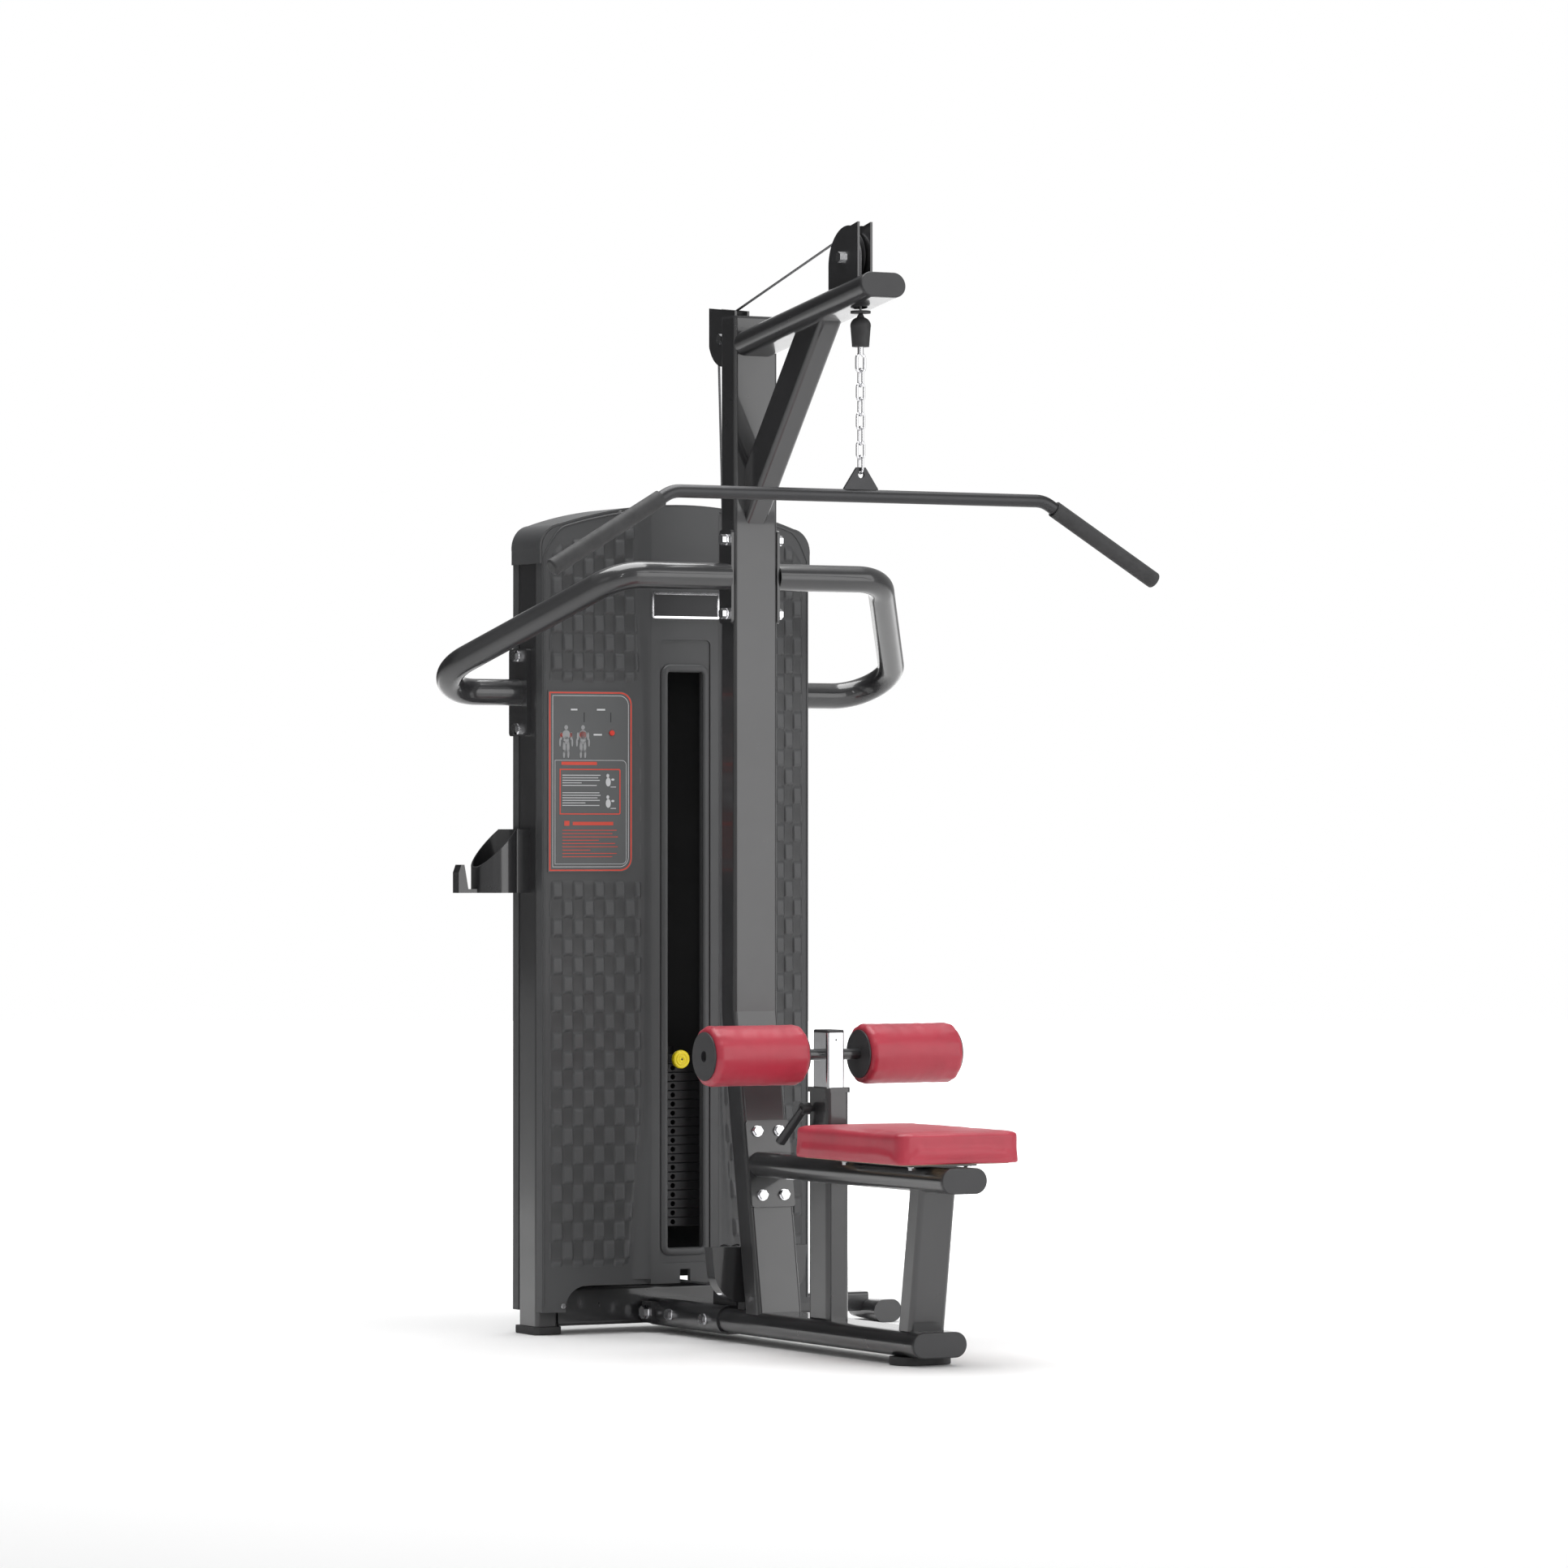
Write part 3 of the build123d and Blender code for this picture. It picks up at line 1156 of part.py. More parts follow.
# ---- cup holder and lower guard ----
CUP = (-372.0, 600.0)
CUP_R = 50.0
CUP_BOTTOM = 908.0
with BuildPart() as cup_holder:
    with BuildSketch(Plane.XY.offset(CUP_BOTTOM)):
        with Locations(CUP):
            Circle(CUP_R)
        with Locations(((CUP[0] - TOWER_HALF_WIDTH) / 2, CUP[1])):
            Rectangle(-CUP[0] - TOWER_HALF_WIDTH, 1.6 * CUP_R)
    extrude(amount=131)
    with BuildSketch(Plane.XY.offset(CUP_BOTTOM + 5)):
        with Locations(CUP):
            Circle(CUP_R - 4)
    extrude(amount=140, mode=Mode.SUBTRACT)
    with BuildSketch(facing_front(CUP[1] + 100)):
        with BuildLine():
            Polyline((-430, 960), (-420, 960), (-345, 1038), (-345, 1060), (-430, 1060), close=True)
        make_face()
    extrude(amount=200, mode=Mode.SUBTRACT)
    with BuildSketch(facing_front(CUP[1] + 14)):
        with BuildLine():
            Polyline((-418, CUP_BOTTOM), (-462, CUP_BOTTOM), (-462, 950), (-456, 966), (-449, 966))
            Polyline((-449, 966), (-446, 950), (-440, CUP_BOTTOM + 8), (-418, CUP_BOTTOM + 8))
            Line((-418, CUP_BOTTOM + 8), (-418, CUP_BOTTOM))
        make_face()
    extrude(amount=28)

GUARD_TOP = 194.0
GUARD_HALF = 110.0
GUARD_REAR_Y = 176.0
GUARD_DEPTH = 33.0
with BuildPart() as pulley_guard:
    with BuildSketch(facing_front(GUARD_REAR_Y)):
        with BuildLine():
            Line((-GUARD_HALF, GUARD_TOP), (GUARD_HALF, GUARD_TOP))
            Line((GUARD_HALF, GUARD_TOP), (GUARD_HALF - 6, 140))
            ThreePointArc((GUARD_HALF - 6, 140), (GUARD_HALF - 24, 103), (GUARD_HALF - 60, 82))
            Line((GUARD_HALF - 60, 82), (-GUARD_HALF + 60, 82))
            ThreePointArc((-GUARD_HALF + 60, 82), (-GUARD_HALF + 24, 103), (-GUARD_HALF + 6, 140))
            Line((-GUARD_HALF + 6, 140), (-GUARD_HALF, GUARD_TOP))
        make_face()
    extrude(amount=GUARD_DEPTH)
    with BuildSketch(facing_front(GUARD_REAR_Y)):
        with Locations((0, 137)):
            RectangleRounded(2 * GUARD_HALF - 46, 88, 30)
    extrude(amount=GUARD_DEPTH - 3, mode=Mode.SUBTRACT)
    with BuildSketch(Plane.XY.offset(BASE_TOP)):
        with Locations((0, GUARD_REAR_Y - GUARD_DEPTH / 2)):
            Rectangle(68, GUARD_DEPTH - 4)
    extrude(amount=90 - BASE_TOP)

PIECES = {
    "base_tube": base_tube,
    "tube_caps": tube_caps,
    "feet": feet,
    "base_sleeve": base_sleeve,
    "frame_bolts": frame_bolts,
    "tower_frame": tower_frame,
    "outrigger": outrigger,
    "front_shroud": front_shroud,
    "rear_shroud": rear_shroud,
    "top_cover": top_cover,
    "placard": placard,
    "reset_button": reset_button,
    "sign": sign,
    "column": column,
    "arm": arm,
    "brace": brace,
    "seat_tube": seat_tube,
    "front_leg": front_leg,
    "post": post,
    "inner_post": inner_post,
    "inner_post_cap": inner_post_cap,
    "roller_rod": roller_rod,
    "clamp_lever": clamp_lever,
    "seat_bracket": seat_bracket,
    "seat_board": seat_board,
    "seat_pad": seat_pad,
    "roller_left_pad": roller_left_pad,
    "roller_right_pad": roller_right_pad,
    "roller_left_caps": roller_left_caps,
    "roller_right_caps": roller_right_caps,
    "guide_rods": guide_rods,
    "stack_cushions": stack_cushions,
    "weight_plates": weight_plates,
    "head_plate": head_plate,
    "selector_stem": selector_stem,
    "selector_pin": selector_pin,
    "pin_knob": pin_knob,
    "front_pulley_bracket": front_pulley_bracket,
    "rear_pulley_bracket": rear_pulley_bracket,
    "lower_pulley_brackets": lower_pulley_brackets,
    "tower_pulley_bracket": tower_pulley_bracket,
    "pulley_axles": pulley_axles,
    "main_cable": main_cable,
    "bar_cable": bar_cable,
    "stack_cable": stack_cable,
    "bullet_cover": bullet_cover,
    "swivel_shackle": swivel_shackle,
    "chain": chain,
    "bar_tab": bar_tab,
    "lat_bar": lat_bar,
    "grips": grips,
    "handle_left": handle_left,
    "handle_right": handle_right,
    "cup_holder": cup_holder,
    "pulley_guard": pulley_guard,
    **pulley_pieces,
}

for label, piece in PIECES.items():
    piece.part.label = label
    export_step(piece.part, f"parts/{label}.step")

print(len(PIECES), "pieces written")
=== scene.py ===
import json
import math

import bmesh
import bpy
from mathutils import Matrix, Vector, noise


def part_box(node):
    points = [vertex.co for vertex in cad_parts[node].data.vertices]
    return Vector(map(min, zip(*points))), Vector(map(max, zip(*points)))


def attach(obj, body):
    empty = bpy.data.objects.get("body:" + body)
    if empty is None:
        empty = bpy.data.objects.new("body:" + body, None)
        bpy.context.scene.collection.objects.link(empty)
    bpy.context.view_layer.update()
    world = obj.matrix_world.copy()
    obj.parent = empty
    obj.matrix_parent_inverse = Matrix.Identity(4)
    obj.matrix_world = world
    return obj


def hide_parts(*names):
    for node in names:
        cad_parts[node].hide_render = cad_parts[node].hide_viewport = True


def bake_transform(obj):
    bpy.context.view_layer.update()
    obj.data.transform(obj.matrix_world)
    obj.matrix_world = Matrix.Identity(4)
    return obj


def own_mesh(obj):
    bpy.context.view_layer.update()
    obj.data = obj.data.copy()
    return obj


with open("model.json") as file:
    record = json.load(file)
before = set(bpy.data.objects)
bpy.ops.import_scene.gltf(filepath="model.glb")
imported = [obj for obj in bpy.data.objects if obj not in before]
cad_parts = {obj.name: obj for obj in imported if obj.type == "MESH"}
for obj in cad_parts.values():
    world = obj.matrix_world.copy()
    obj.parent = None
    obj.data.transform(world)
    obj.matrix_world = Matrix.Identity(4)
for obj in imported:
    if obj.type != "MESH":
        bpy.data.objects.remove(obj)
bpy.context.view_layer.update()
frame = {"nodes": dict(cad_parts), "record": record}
SLOT_OF = {s["node"]: s["material_slot"] for s in frame["record"]["subparts"]}

# ---------------------------------------------------------------- camera, light, floor

CAMERA_PLACE = (-6.5023, -11.7859, 1.0200)
CAMERA_TILT, CAMERA_TURN = 90.465, -28.8  # degrees
CAMERA_SENSOR, CAMERA_LENS = 36.0, 153.9  # mm
BACKDROP = (11.56, 21.03)  # far enough that no view from behind has it in the way
BACKDROP_HALF, BACKDROP_TOP = 5.4, 9.0
VIEW_RIGHT = (0.876, -0.482)
FLOOR_SIZE, FLOOR_DROP = 60, 0.0005
FLOOR_FADE = (1.6, 4.5)  # how far behind the machine the floor starts to glow, and glows fully
STRIP_EDGE = (5.2, 3.4)  # how far to either side the glow ends, and is full
DARK_SIDE = (-0.482, 0.876, 0.0)  # what the left-hand faces mirror, kept dim like a studio flag
ROOM_LIGHT, FLAG_LIGHT = 0.38, 0.04
DIM_FROM, DIM_FULL = 0.55, 0.88  # cosines to DARK_SIDE where the room starts to dim, and where it is dimmest


def set_camera():
    data = bpy.data.cameras.new("camera")
    data.sensor_width = CAMERA_SENSOR
    data.lens = CAMERA_LENS
    data.clip_end = 100.0
    data.dof.use_dof = False
    camera = bpy.data.objects.new("camera", data)
    bpy.context.collection.objects.link(camera)
    camera.location = CAMERA_PLACE
    camera.rotation_euler = (math.radians(CAMERA_TILT), 0, math.radians(CAMERA_TURN))
    bpy.context.scene.camera = camera


def area_light(name, place, aim, size, power, size_y=None):
    data = bpy.data.lights.new(name, "AREA")
    data.shape = "RECTANGLE"
    data.size = size
    data.size_y = size_y or size
    data.energy = power
    lamp = bpy.data.objects.new(name, data)
    bpy.context.collection.objects.link(lamp)
    lamp.location = place
    lamp.rotation_euler = (Vector(aim) - Vector(place)).to_track_quat("-Z", "Y").to_euler()


def backdrop():
    """An even white card across the view, behind the machine."""
    verts = []
    for along in (-BACKDROP_HALF, BACKDROP_HALF):
        for z in (-0.3, BACKDROP_TOP):
            verts.append((BACKDROP[0] + along * VIEW_RIGHT[0], BACKDROP[1] + along * VIEW_RIGHT[1], z))
    mesh = bpy.data.meshes.new("studio_backdrop")
    mesh.from_pydata(verts, [], [(0, 1, 3, 2)])
    card = bpy.data.objects.new("studio_backdrop", mesh)
    bpy.context.collection.objects.link(card)
    mat, bsdf = new_material("studio_backdrop")
    bsdf.inputs["Base Color"].default_value = (0.0, 0.0, 0.0, 1)
    bsdf.inputs["Roughness"].default_value = 1.0
    bsdf.inputs["Specular IOR Level"].default_value = 0.0
    bsdf.inputs["Emission Color"].default_value = (1.0, 1.0, 1.0, 1)
    bsdf.inputs["Emission Strength"].default_value = 1.0
    mesh.materials.append(mat)


def floor_material():
    """Pale matt floor that turns to an even white in the strip between the machine and the card."""
    mat, bsdf = new_material("studio_floor")
    bsdf.inputs["Base Color"].default_value = (0.92, 0.92, 0.92, 1)
    bsdf.inputs["Roughness"].default_value = 0.8
    bsdf.inputs["Emission Color"].default_value = (1.0, 1.0, 1.0, 1)
    nodes, links = mat.node_tree.nodes, mat.node_tree.links
    place = nodes.new("ShaderNodeTexCoord")
    shares = []
    ways = (((-VIEW_RIGHT[1], VIEW_RIGHT[0], 0), FLOOR_FADE), ((*VIEW_RIGHT, 0), STRIP_EDGE))
    for way, (start, end) in ways:
        dot = nodes.new("ShaderNodeVectorMath")
        dot.operation = "DOT_PRODUCT"
        dot.inputs[1].default_value = way
        links.new(place.outputs["Object"], dot.inputs[0])
        value = dot.outputs["Value"]
        if end < start:
            size = nodes.new("ShaderNodeMath")
            size.operation = "ABSOLUTE"
            links.new(value, size.inputs[0])
            value = size.outputs["Value"]
        fade = nodes.new("ShaderNodeMapRange")
        fade.interpolation_type = "SMOOTHSTEP"
        fade.inputs["From Min"].default_value = min(start, end)
        fade.inputs["From Max"].default_value = max(start, end)
        fade.inputs["To Min"].default_value = 0.0 if start < end else 1.0
        fade.inputs["To Max"].default_value = 1.0 if start < end else 0.0
        links.new(value, fade.inputs["Value"])
        shares.append(fade.outputs["Result"])
    both = nodes.new("ShaderNodeMath")
    both.operation = "MULTIPLY"
    links.new(shares[0], both.inputs[0])
    links.new(shares[1], both.inputs[1])
    links.new(both.outputs["Value"], bsdf.inputs["Emission Strength"])
    return mat


def light_room(tree, background):
    """A pale room all round, with one dim side."""
    place = tree.nodes.new("ShaderNodeTexCoord")
    dot = tree.nodes.new("ShaderNodeVectorMath")
    dot.operation = "DOT_PRODUCT"
    dot.inputs[1].default_value = DARK_SIDE
    tree.links.new(place.outputs["Generated"], dot.inputs[0])
    fade = tree.nodes.new("ShaderNodeMapRange")
    fade.interpolation_type = "SMOOTHSTEP"
    fade.inputs["From Min"].default_value = DIM_FROM
    fade.inputs["From Max"].default_value = DIM_FULL
    fade.inputs["To Min"].default_value = ROOM_LIGHT
    fade.inputs["To Max"].default_value = FLAG_LIGHT
    tree.links.new(dot.outputs["Value"], fade.inputs["Value"])
    tree.links.new(fade.outputs["Result"], background.inputs["Strength"])


def set_stage():
    bpy.context.scene.view_settings.view_transform = "Standard"
    world = bpy.data.worlds.new("studio")
    bpy.context.scene.world = world
    world.use_nodes = True
    background = world.node_tree.nodes["Background"]
    background.inputs["Color"].default_value = (1.0, 1.0, 1.0, 1)
    light_room(world.node_tree, background)
    area_light("key", (3.4, -6.4, 2.3), (0, 0, 1.0), 7.0, 285)
    area_light("fill", (-6.5, -3.0, 3.0), (0, 0, 1.2), 2.5, 8)
    area_light("top", (0, 0.5, 6.0), (0, 0, 0), 5.0, 400)
    area_light("strip", (-3.4, -6.2, 3.2), (0, 0, 1.1), 0.35, 22, 3.2)
    bpy.ops.mesh.primitive_plane_add(size=FLOOR_SIZE, location=(0, 0, -FLOOR_DROP))
    floor = bpy.context.object
    floor.name = "studio_floor"
    floor.data.materials.append(floor_material())
    backdrop()


# ---------------------------------------------------------------- materials


def new_material(name):
    mat = bpy.data.materials.new(name)
    mat.use_nodes = True
    return mat, mat.node_tree.nodes["Principled BSDF"]


class Build:
    """Adds nodes to one material's tree."""

    def __init__(self, name):
        self.mat, self.bsdf = new_material(name)
        self.tree = self.mat.node_tree
        self.coord = self.tree.nodes.new("ShaderNodeTexCoord").outputs["Object"]

    def node(self, kind, **values):
        n = self.tree.nodes.new(kind)
        for key, value in values.items():
            if key in n.inputs:
                n.inputs[key].default_value = value
            else:
                setattr(n, key, value)
        return n

    def link(self, a, b):
        self.tree.links.new(a, b)

    def noise(self, scale, detail=4.0, rough=0.5, stretch=(1, 1, 1)):
        mapping = self.node("ShaderNodeMapping")
        mapping.inputs["Scale"].default_value = stretch
        self.link(self.coord, mapping.inputs["Vector"])
        n = self.node("ShaderNodeTexNoise", Scale=scale, Detail=detail, Roughness=rough)
        self.link(mapping.outputs["Vector"], n.inputs["Vector"])
        return n.outputs["Fac"]

    def cells(self, scale):
        n = self.node("ShaderNodeTexVoronoi", Scale=scale)
        self.link(self.coord, n.inputs["Vector"])
        return n.outputs["Distance"]

    def ramp(self, fac, stops):
        n = self.node("ShaderNodeValToRGB")
        ends = n.color_ramp.elements
        ends[0].position, ends[0].color = stops[0][0], (*stops[0][1], 1)
        ends[1].position, ends[1].color = stops[-1][0], (*stops[-1][1], 1)
        for position, colour in stops[1:-1]:
            ends.new(position).color = (*colour, 1)
        self.link(fac, n.inputs["Fac"])
        return n.outputs["Color"]

    def spread(self, fac, low, high):
        n = self.node("ShaderNodeMapRange")
        n.inputs["To Min"].default_value = low
        n.inputs["To Max"].default_value = high
        self.link(fac, n.inputs["Value"])
        return n.outputs["Result"]

    def bump(self, height, strength, distance, after=None):
        n = self.node("ShaderNodeBump", Strength=strength, Distance=distance)
        self.link(height, n.inputs["Height"])
        if after is not None:
            self.link(after, n.inputs["Normal"])
        self.link(n.outputs["Normal"], self.bsdf.inputs["Normal"])
        return n.outputs["Normal"]

    def set(self, **values):
        for key, value in values.items():
            self.bsdf.inputs[key.replace("_", " ")].default_value = value


def shade(colour, factor):
    return tuple(min(1.0, c * factor) for c in colour)


def gloss_paint(name, colour):
    """Powder-coated steel under clear lacquer: faint orange peel and dusty variation."""
    b = Build(name)
    dust = b.noise(7.0, 6)
    tone = b.ramp(dust, [(0.3, shade(colour, 0.88)), (0.7, shade(colour, 1.15))])
    b.link(tone, b.bsdf.inputs["Base Color"])
    b.link(b.spread(b.noise(26.0, 5), 0.24, 0.36), b.bsdf.inputs["Roughness"])
    b.bump(b.noise(420.0, 2), 0.06, 0.0006)
    b.set(Coat_Weight=0.85, Coat_Roughness=0.07)
    return b.mat


def moulded_plastic(name, colour, low, high, grain):
    """Injection-moulded plastic with a fine spark-eroded grain."""
    b = Build(name)
    tone = b.ramp(b.noise(5.0, 5), [(0.25, shade(colour, 0.9)), (0.75, shade(colour, 1.12))])
    b.link(tone, b.bsdf.inputs["Base Color"])
    b.link(b.spread(b.noise(40.0, 4), low, high), b.bsdf.inputs["Roughness"])
    b.bump(b.cells(grain), 0.12, 0.0004)
    return b.mat


def woven_plastic(name, colour, low, high, grain):
    """The same plastic in the woven panels, with painted shade darkening the hollows and painted light
    brightening the raised cells.
    """
    b = Build(name)
    cloud = b.ramp(b.noise(5.0, 5), [(0.25, shade(colour, 0.9)), (0.75, shade(colour, 1.12))])
    # The 'tone' attribute is painted shade and light: it scales the colour down in the weave's hollows and up
    # on its raised cells.
    tone = b.node("ShaderNodeAttribute")
    tone.attribute_name = "tone"
    shaded = b.node("ShaderNodeVectorMath")
    shaded.operation = "SCALE"
    b.link(cloud, shaded.inputs[0])
    b.link(b.spread(tone.outputs["Fac"], 0.62, 1.12), shaded.inputs["Scale"])
    b.link(shaded.outputs["Vector"], b.bsdf.inputs["Base Color"])
    b.link(b.spread(b.noise(40.0, 4), low, high), b.bsdf.inputs["Roughness"])
    b.bump(b.cells(grain), 0.12, 0.0004)
    return b.mat


def rubber(name, colour):
    b = Build(name)
    tone = b.ramp(b.noise(30.0, 6), [(0.3, shade(colour, 0.8)), (0.7, shade(colour, 1.3))])
    b.link(tone, b.bsdf.inputs["Base Color"])
    b.link(b.spread(b.noise(90.0, 4), 0.55, 0.75), b.bsdf.inputs["Roughness"])
    b.bump(b.cells(900.0), 0.2, 0.0004)
    return b.mat


def polished_metal(name, colour, low, high):
    b = Build(name)
    b.link(b.ramp(b.noise(12.0, 6), [(0.3, shade(colour, 0.93)), (0.7, colour)]), b.bsdf.inputs["Base Color"])
    b.link(b.spread(b.noise(60.0, 6), low, high), b.bsdf.inputs["Roughness"])
    b.set(Metallic=1.0)
    return b.mat


def cable_steel(name, colour):
    """Stranded steel: fine diagonal lay lines along the rope."""
    b = Build(name)
    wave = b.node("ShaderNodeTexWave", Scale=220.0, Distortion=0.4)
    wave.bands_direction = "DIAGONAL"
    b.link(b.coord, wave.inputs["Vector"])
    tone = b.ramp(wave.outputs["Fac"], [(0.1, shade(colour, 0.35)), (0.8, colour)])
    b.link(tone, b.bsdf.inputs["Base Color"])
    b.link(b.spread(b.noise(150.0), 0.28, 0.45), b.bsdf.inputs["Roughness"])
    b.bump(wave.outputs["Fac"], 0.5, 0.0005)
    b.set(Metallic=0.85)
    return b.mat


def vinyl(name, colour):
    """Upholstery vinyl: pebble grain, soft creases, slight sheen and darker worn hollows."""
    b = Build(name)
    tone = b.noise(9.0, 6, 0.6)
    b.link(
        b.ramp(tone, [(0.25, shade(colour, 0.82)), (0.5, colour), (0.8, shade(colour, 1.12))]),
        b.bsdf.inputs["Base Color"],
    )
    b.link(b.spread(b.noise(55.0, 5), 0.36, 0.5), b.bsdf.inputs["Roughness"])
    pebble = b.bump(b.cells(520.0), 0.22, 0.0005)
    b.bump(b.noise(34.0, 5, 0.6), 0.10, 0.0016, after=pebble)
    b.set(Coat_Weight=0.12, Coat_Roughness=0.3)
    b.set(Sheen_Weight=0.08)
    return b.mat


def wood(name, colour):
    b = Build(name)
    grain = b.noise(14.0, 8, 0.6, stretch=(1, 14, 40))
    b.link(b.ramp(grain, [(0.3, shade(colour, 0.6)), (0.7, shade(colour, 1.1))]), b.bsdf.inputs["Base Color"])
    b.link(b.spread(grain, 0.55, 0.75), b.bsdf.inputs["Roughness"])
    b.bump(grain, 0.2, 0.0005)
    return b.mat


MATERIALS = {
    "painted_black": gloss_paint("painted_black", (0.022, 0.022, 0.0235)),
    "stack_black": moulded_plastic("stack_black", (0.018, 0.018, 0.02), 0.4, 0.55, 700.0),
    "shroud_grey": moulded_plastic("shroud_grey", (0.055, 0.056, 0.058), 0.42, 0.55, 1100.0),
    "shroud_weave": woven_plastic("shroud_weave", (0.055, 0.056, 0.058), 0.36, 0.48, 1100.0),
    "black_plastic": moulded_plastic("black_plastic", (0.03, 0.03, 0.032), 0.38, 0.5, 1300.0),
    "black_rubber": rubber("black_rubber", (0.03, 0.03, 0.031)),
    "chrome": polished_metal("chrome", (0.82, 0.82, 0.84), 0.06, 0.16),
    "satin_steel": polished_metal("satin_steel", (0.062, 0.062, 0.064), 0.36, 0.48),
    "brushed_steel": cable_steel("brushed_steel", (0.35, 0.35, 0.36)),
    "red_vinyl": vinyl("red_vinyl", (0.40, 0.022, 0.045)),
    "knob_yellow": moulded_plastic("knob_yellow", (0.95, 0.74, 0.012), 0.25, 0.38, 1300.0),
    "button_red": moulded_plastic("button_red", (0.62, 0.035, 0.02), 0.3, 0.42, 1300.0),
    "placard_grey": moulded_plastic("placard_grey", (0.085, 0.088, 0.09), 0.38, 0.5, 1500.0),
    "plywood": wood("plywood", (0.5, 0.36, 0.22)),
    "print_red": moulded_plastic("print_red", (0.60, 0.055, 0.03), 0.4, 0.5, 1500.0),
    "print_grey": moulded_plastic("print_grey", (0.27, 0.275, 0.28), 0.4, 0.5, 1500.0),
    "print_white": moulded_plastic("print_white", (0.55, 0.56, 0.57), 0.4, 0.5, 1500.0),
}


SATIN_NODES = ("lat_bar", "bar_tab")  # bent from duller stock than the plated rods


def dress_cad():
    for node, obj in frame["nodes"].items():
        look = "satin_steel" if node in SATIN_NODES else SLOT_OF[node]
        obj.data.materials.clear()
        obj.data.materials.append(MATERIALS[look])


# ---------------------------------------------------------------- mesh helpers


def mesh_object(name, verts, faces, material, body, smooth=True):
    mesh = bpy.data.meshes.new(name)
    mesh.from_pydata([tuple(v) for v in verts], [], faces)
    mesh.validate()
    obj = bpy.data.objects.new(name, mesh)
    bpy.context.collection.objects.link(obj)
    mesh.materials.append(MATERIALS[material])
    if smooth:
        for p in mesh.polygons:
            p.use_smooth = True
    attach(obj, body)
    return obj


def grid_faces(rows, columns, flip=False):
    faces = []
    for r in range(rows - 1):
        for c in range(columns - 1):
            a = r * columns + c
            quad = (a, a + 1, a + columns + 1, a + columns)
            faces.append(quad[::-1] if flip else quad)
    return faces


def lathe(profile, centre, axis, segments=64):
    """Vertices and faces of a surface of revolution. profile holds (along, radius) pairs."""
    turn = Vector((0, 0, 1)).rotation_difference(Vector(axis)).to_matrix()
    verts = []
    for along, radius in profile:
        for i in range(segments):
            a = 2 * math.pi * i / segments
            local = Vector((radius * math.cos(a), radius * math.sin(a), along))
            verts.append(turn @ local + Vector(centre))
    faces = []
    for r in range(len(profile) - 1):
        for i in range(segments):
            j = (i + 1) % segments
            faces.append((r * segments + i, r * segments + j, (r + 1) * segments + j, (r + 1) * segments + i))
    return verts, faces


def smooth_step(low, high, value):
    t = min(1.0, max(0.0, (value - low) / (high - low)))
    return t * t * (3 - 2 * t)


# ---------------------------------------------------------------- shroud relief

SHROUD_LOW, SHROUD_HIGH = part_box("front_shroud")
HALF_WIDTH = SHROUD_HIGH.x
EDGE_Y = 0.504
BOW = 0.030
BAND_Y = SHROUD_LOW.y
CELL_X, CELL_Z = 0.0225, 0.039
CELL_EDGE = 0.09  # soft edges of a cell, as shares of it
CELL_LOWER_EDGE, CELL_UPPER_EDGE = 0.07, 0.22
CELL_THINNING = 0.35
WEAVE_BASE, WEAVE_RISE = 0.0006, 0.0056
WEAVE_SINK = 0.0006  # how far the sheet lies behind the panel's face where it has no weave
FLAT_CELL_RISE = 0.0008
ARCH_HALF, ARCH_DROP = 0.272, 0.043
SHOULDER_X, SHOULDER_WIDTH, SHOULDER_DROP = 0.262, 0.05, 0.055
BAND_HALF, BAND_FOOT, BAND_HEAD = 0.0785, 0.112, 1.688
FLANK_HALF, FLANK_FOOT_GAIN, FLANK_HEAD_GAIN = 0.092, 0.028, 0.016
RELIEF_IN, RELIEF_OUT = 0.094, 0.300
RELIEF_FOOT, RELIEF_HEAD_GAP = 0.135, 0.030
BEAD_HALF, BEAD_FOOT, BEAD_SHOULDER, BEAD_HEAD = 0.3085, 0.06, 1.600, 1.72
BEAD_RADIUS = 0.0022
PLACARD_LOW, PLACARD_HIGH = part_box("placard")


def panel_y(x):
    """Where the face of the bowed front panel stands in y, at width x."""
    radius = (HALF_WIDTH**2 + BOW**2) / (2 * BOW)
    return EDGE_Y - BOW + radius - math.sqrt(radius**2 - x**2)


def panel_top(x):
    """Height of the shroud's arched top at width x, kept inside its rounded shoulders."""
    crown = SHROUD_HIGH.z
    arch = crown - ARCH_DROP * (x / ARCH_HALF) ** 2
    beyond = max(0.0, abs(x) - SHOULDER_X)
    shoulder = (beyond / SHOULDER_WIDTH) ** 2 * SHOULDER_DROP
    return arch - shoulder


def weave(x, z):
    """Height of the basket weave: every other cell stands out, thickest near its lower edge."""
    u, v = x / CELL_X, z / CELL_Z
    raised = (math.floor(u) + math.floor(v)) % 2 == 0
    fu, fv = u - math.floor(u), v - math.floor(v)
    across = smooth_step(0.0, CELL_EDGE, fu) * smooth_step(0.0, CELL_EDGE, 1 - fu)
    along = smooth_step(0.0, CELL_LOWER_EDGE, fv) * smooth_step(0.0, CELL_UPPER_EDGE, 1 - fv)
    along *= 1 - CELL_THINNING * fv
    if raised:
        return WEAVE_BASE + WEAVE_RISE * across * along
    return WEAVE_BASE + FLAT_CELL_RISE * across * (1 - math.sin(math.pi * fv))


def flank_foot(z):
    """Half width at which the middle band's soft flank meets the woven panel."""
    foot_gain = FLANK_FOOT_GAIN * (1 - smooth_step(0.10, 0.55, z))
    return FLANK_HALF + foot_gain + FLANK_HEAD_GAIN * smooth_step(1.15, 1.62, z)


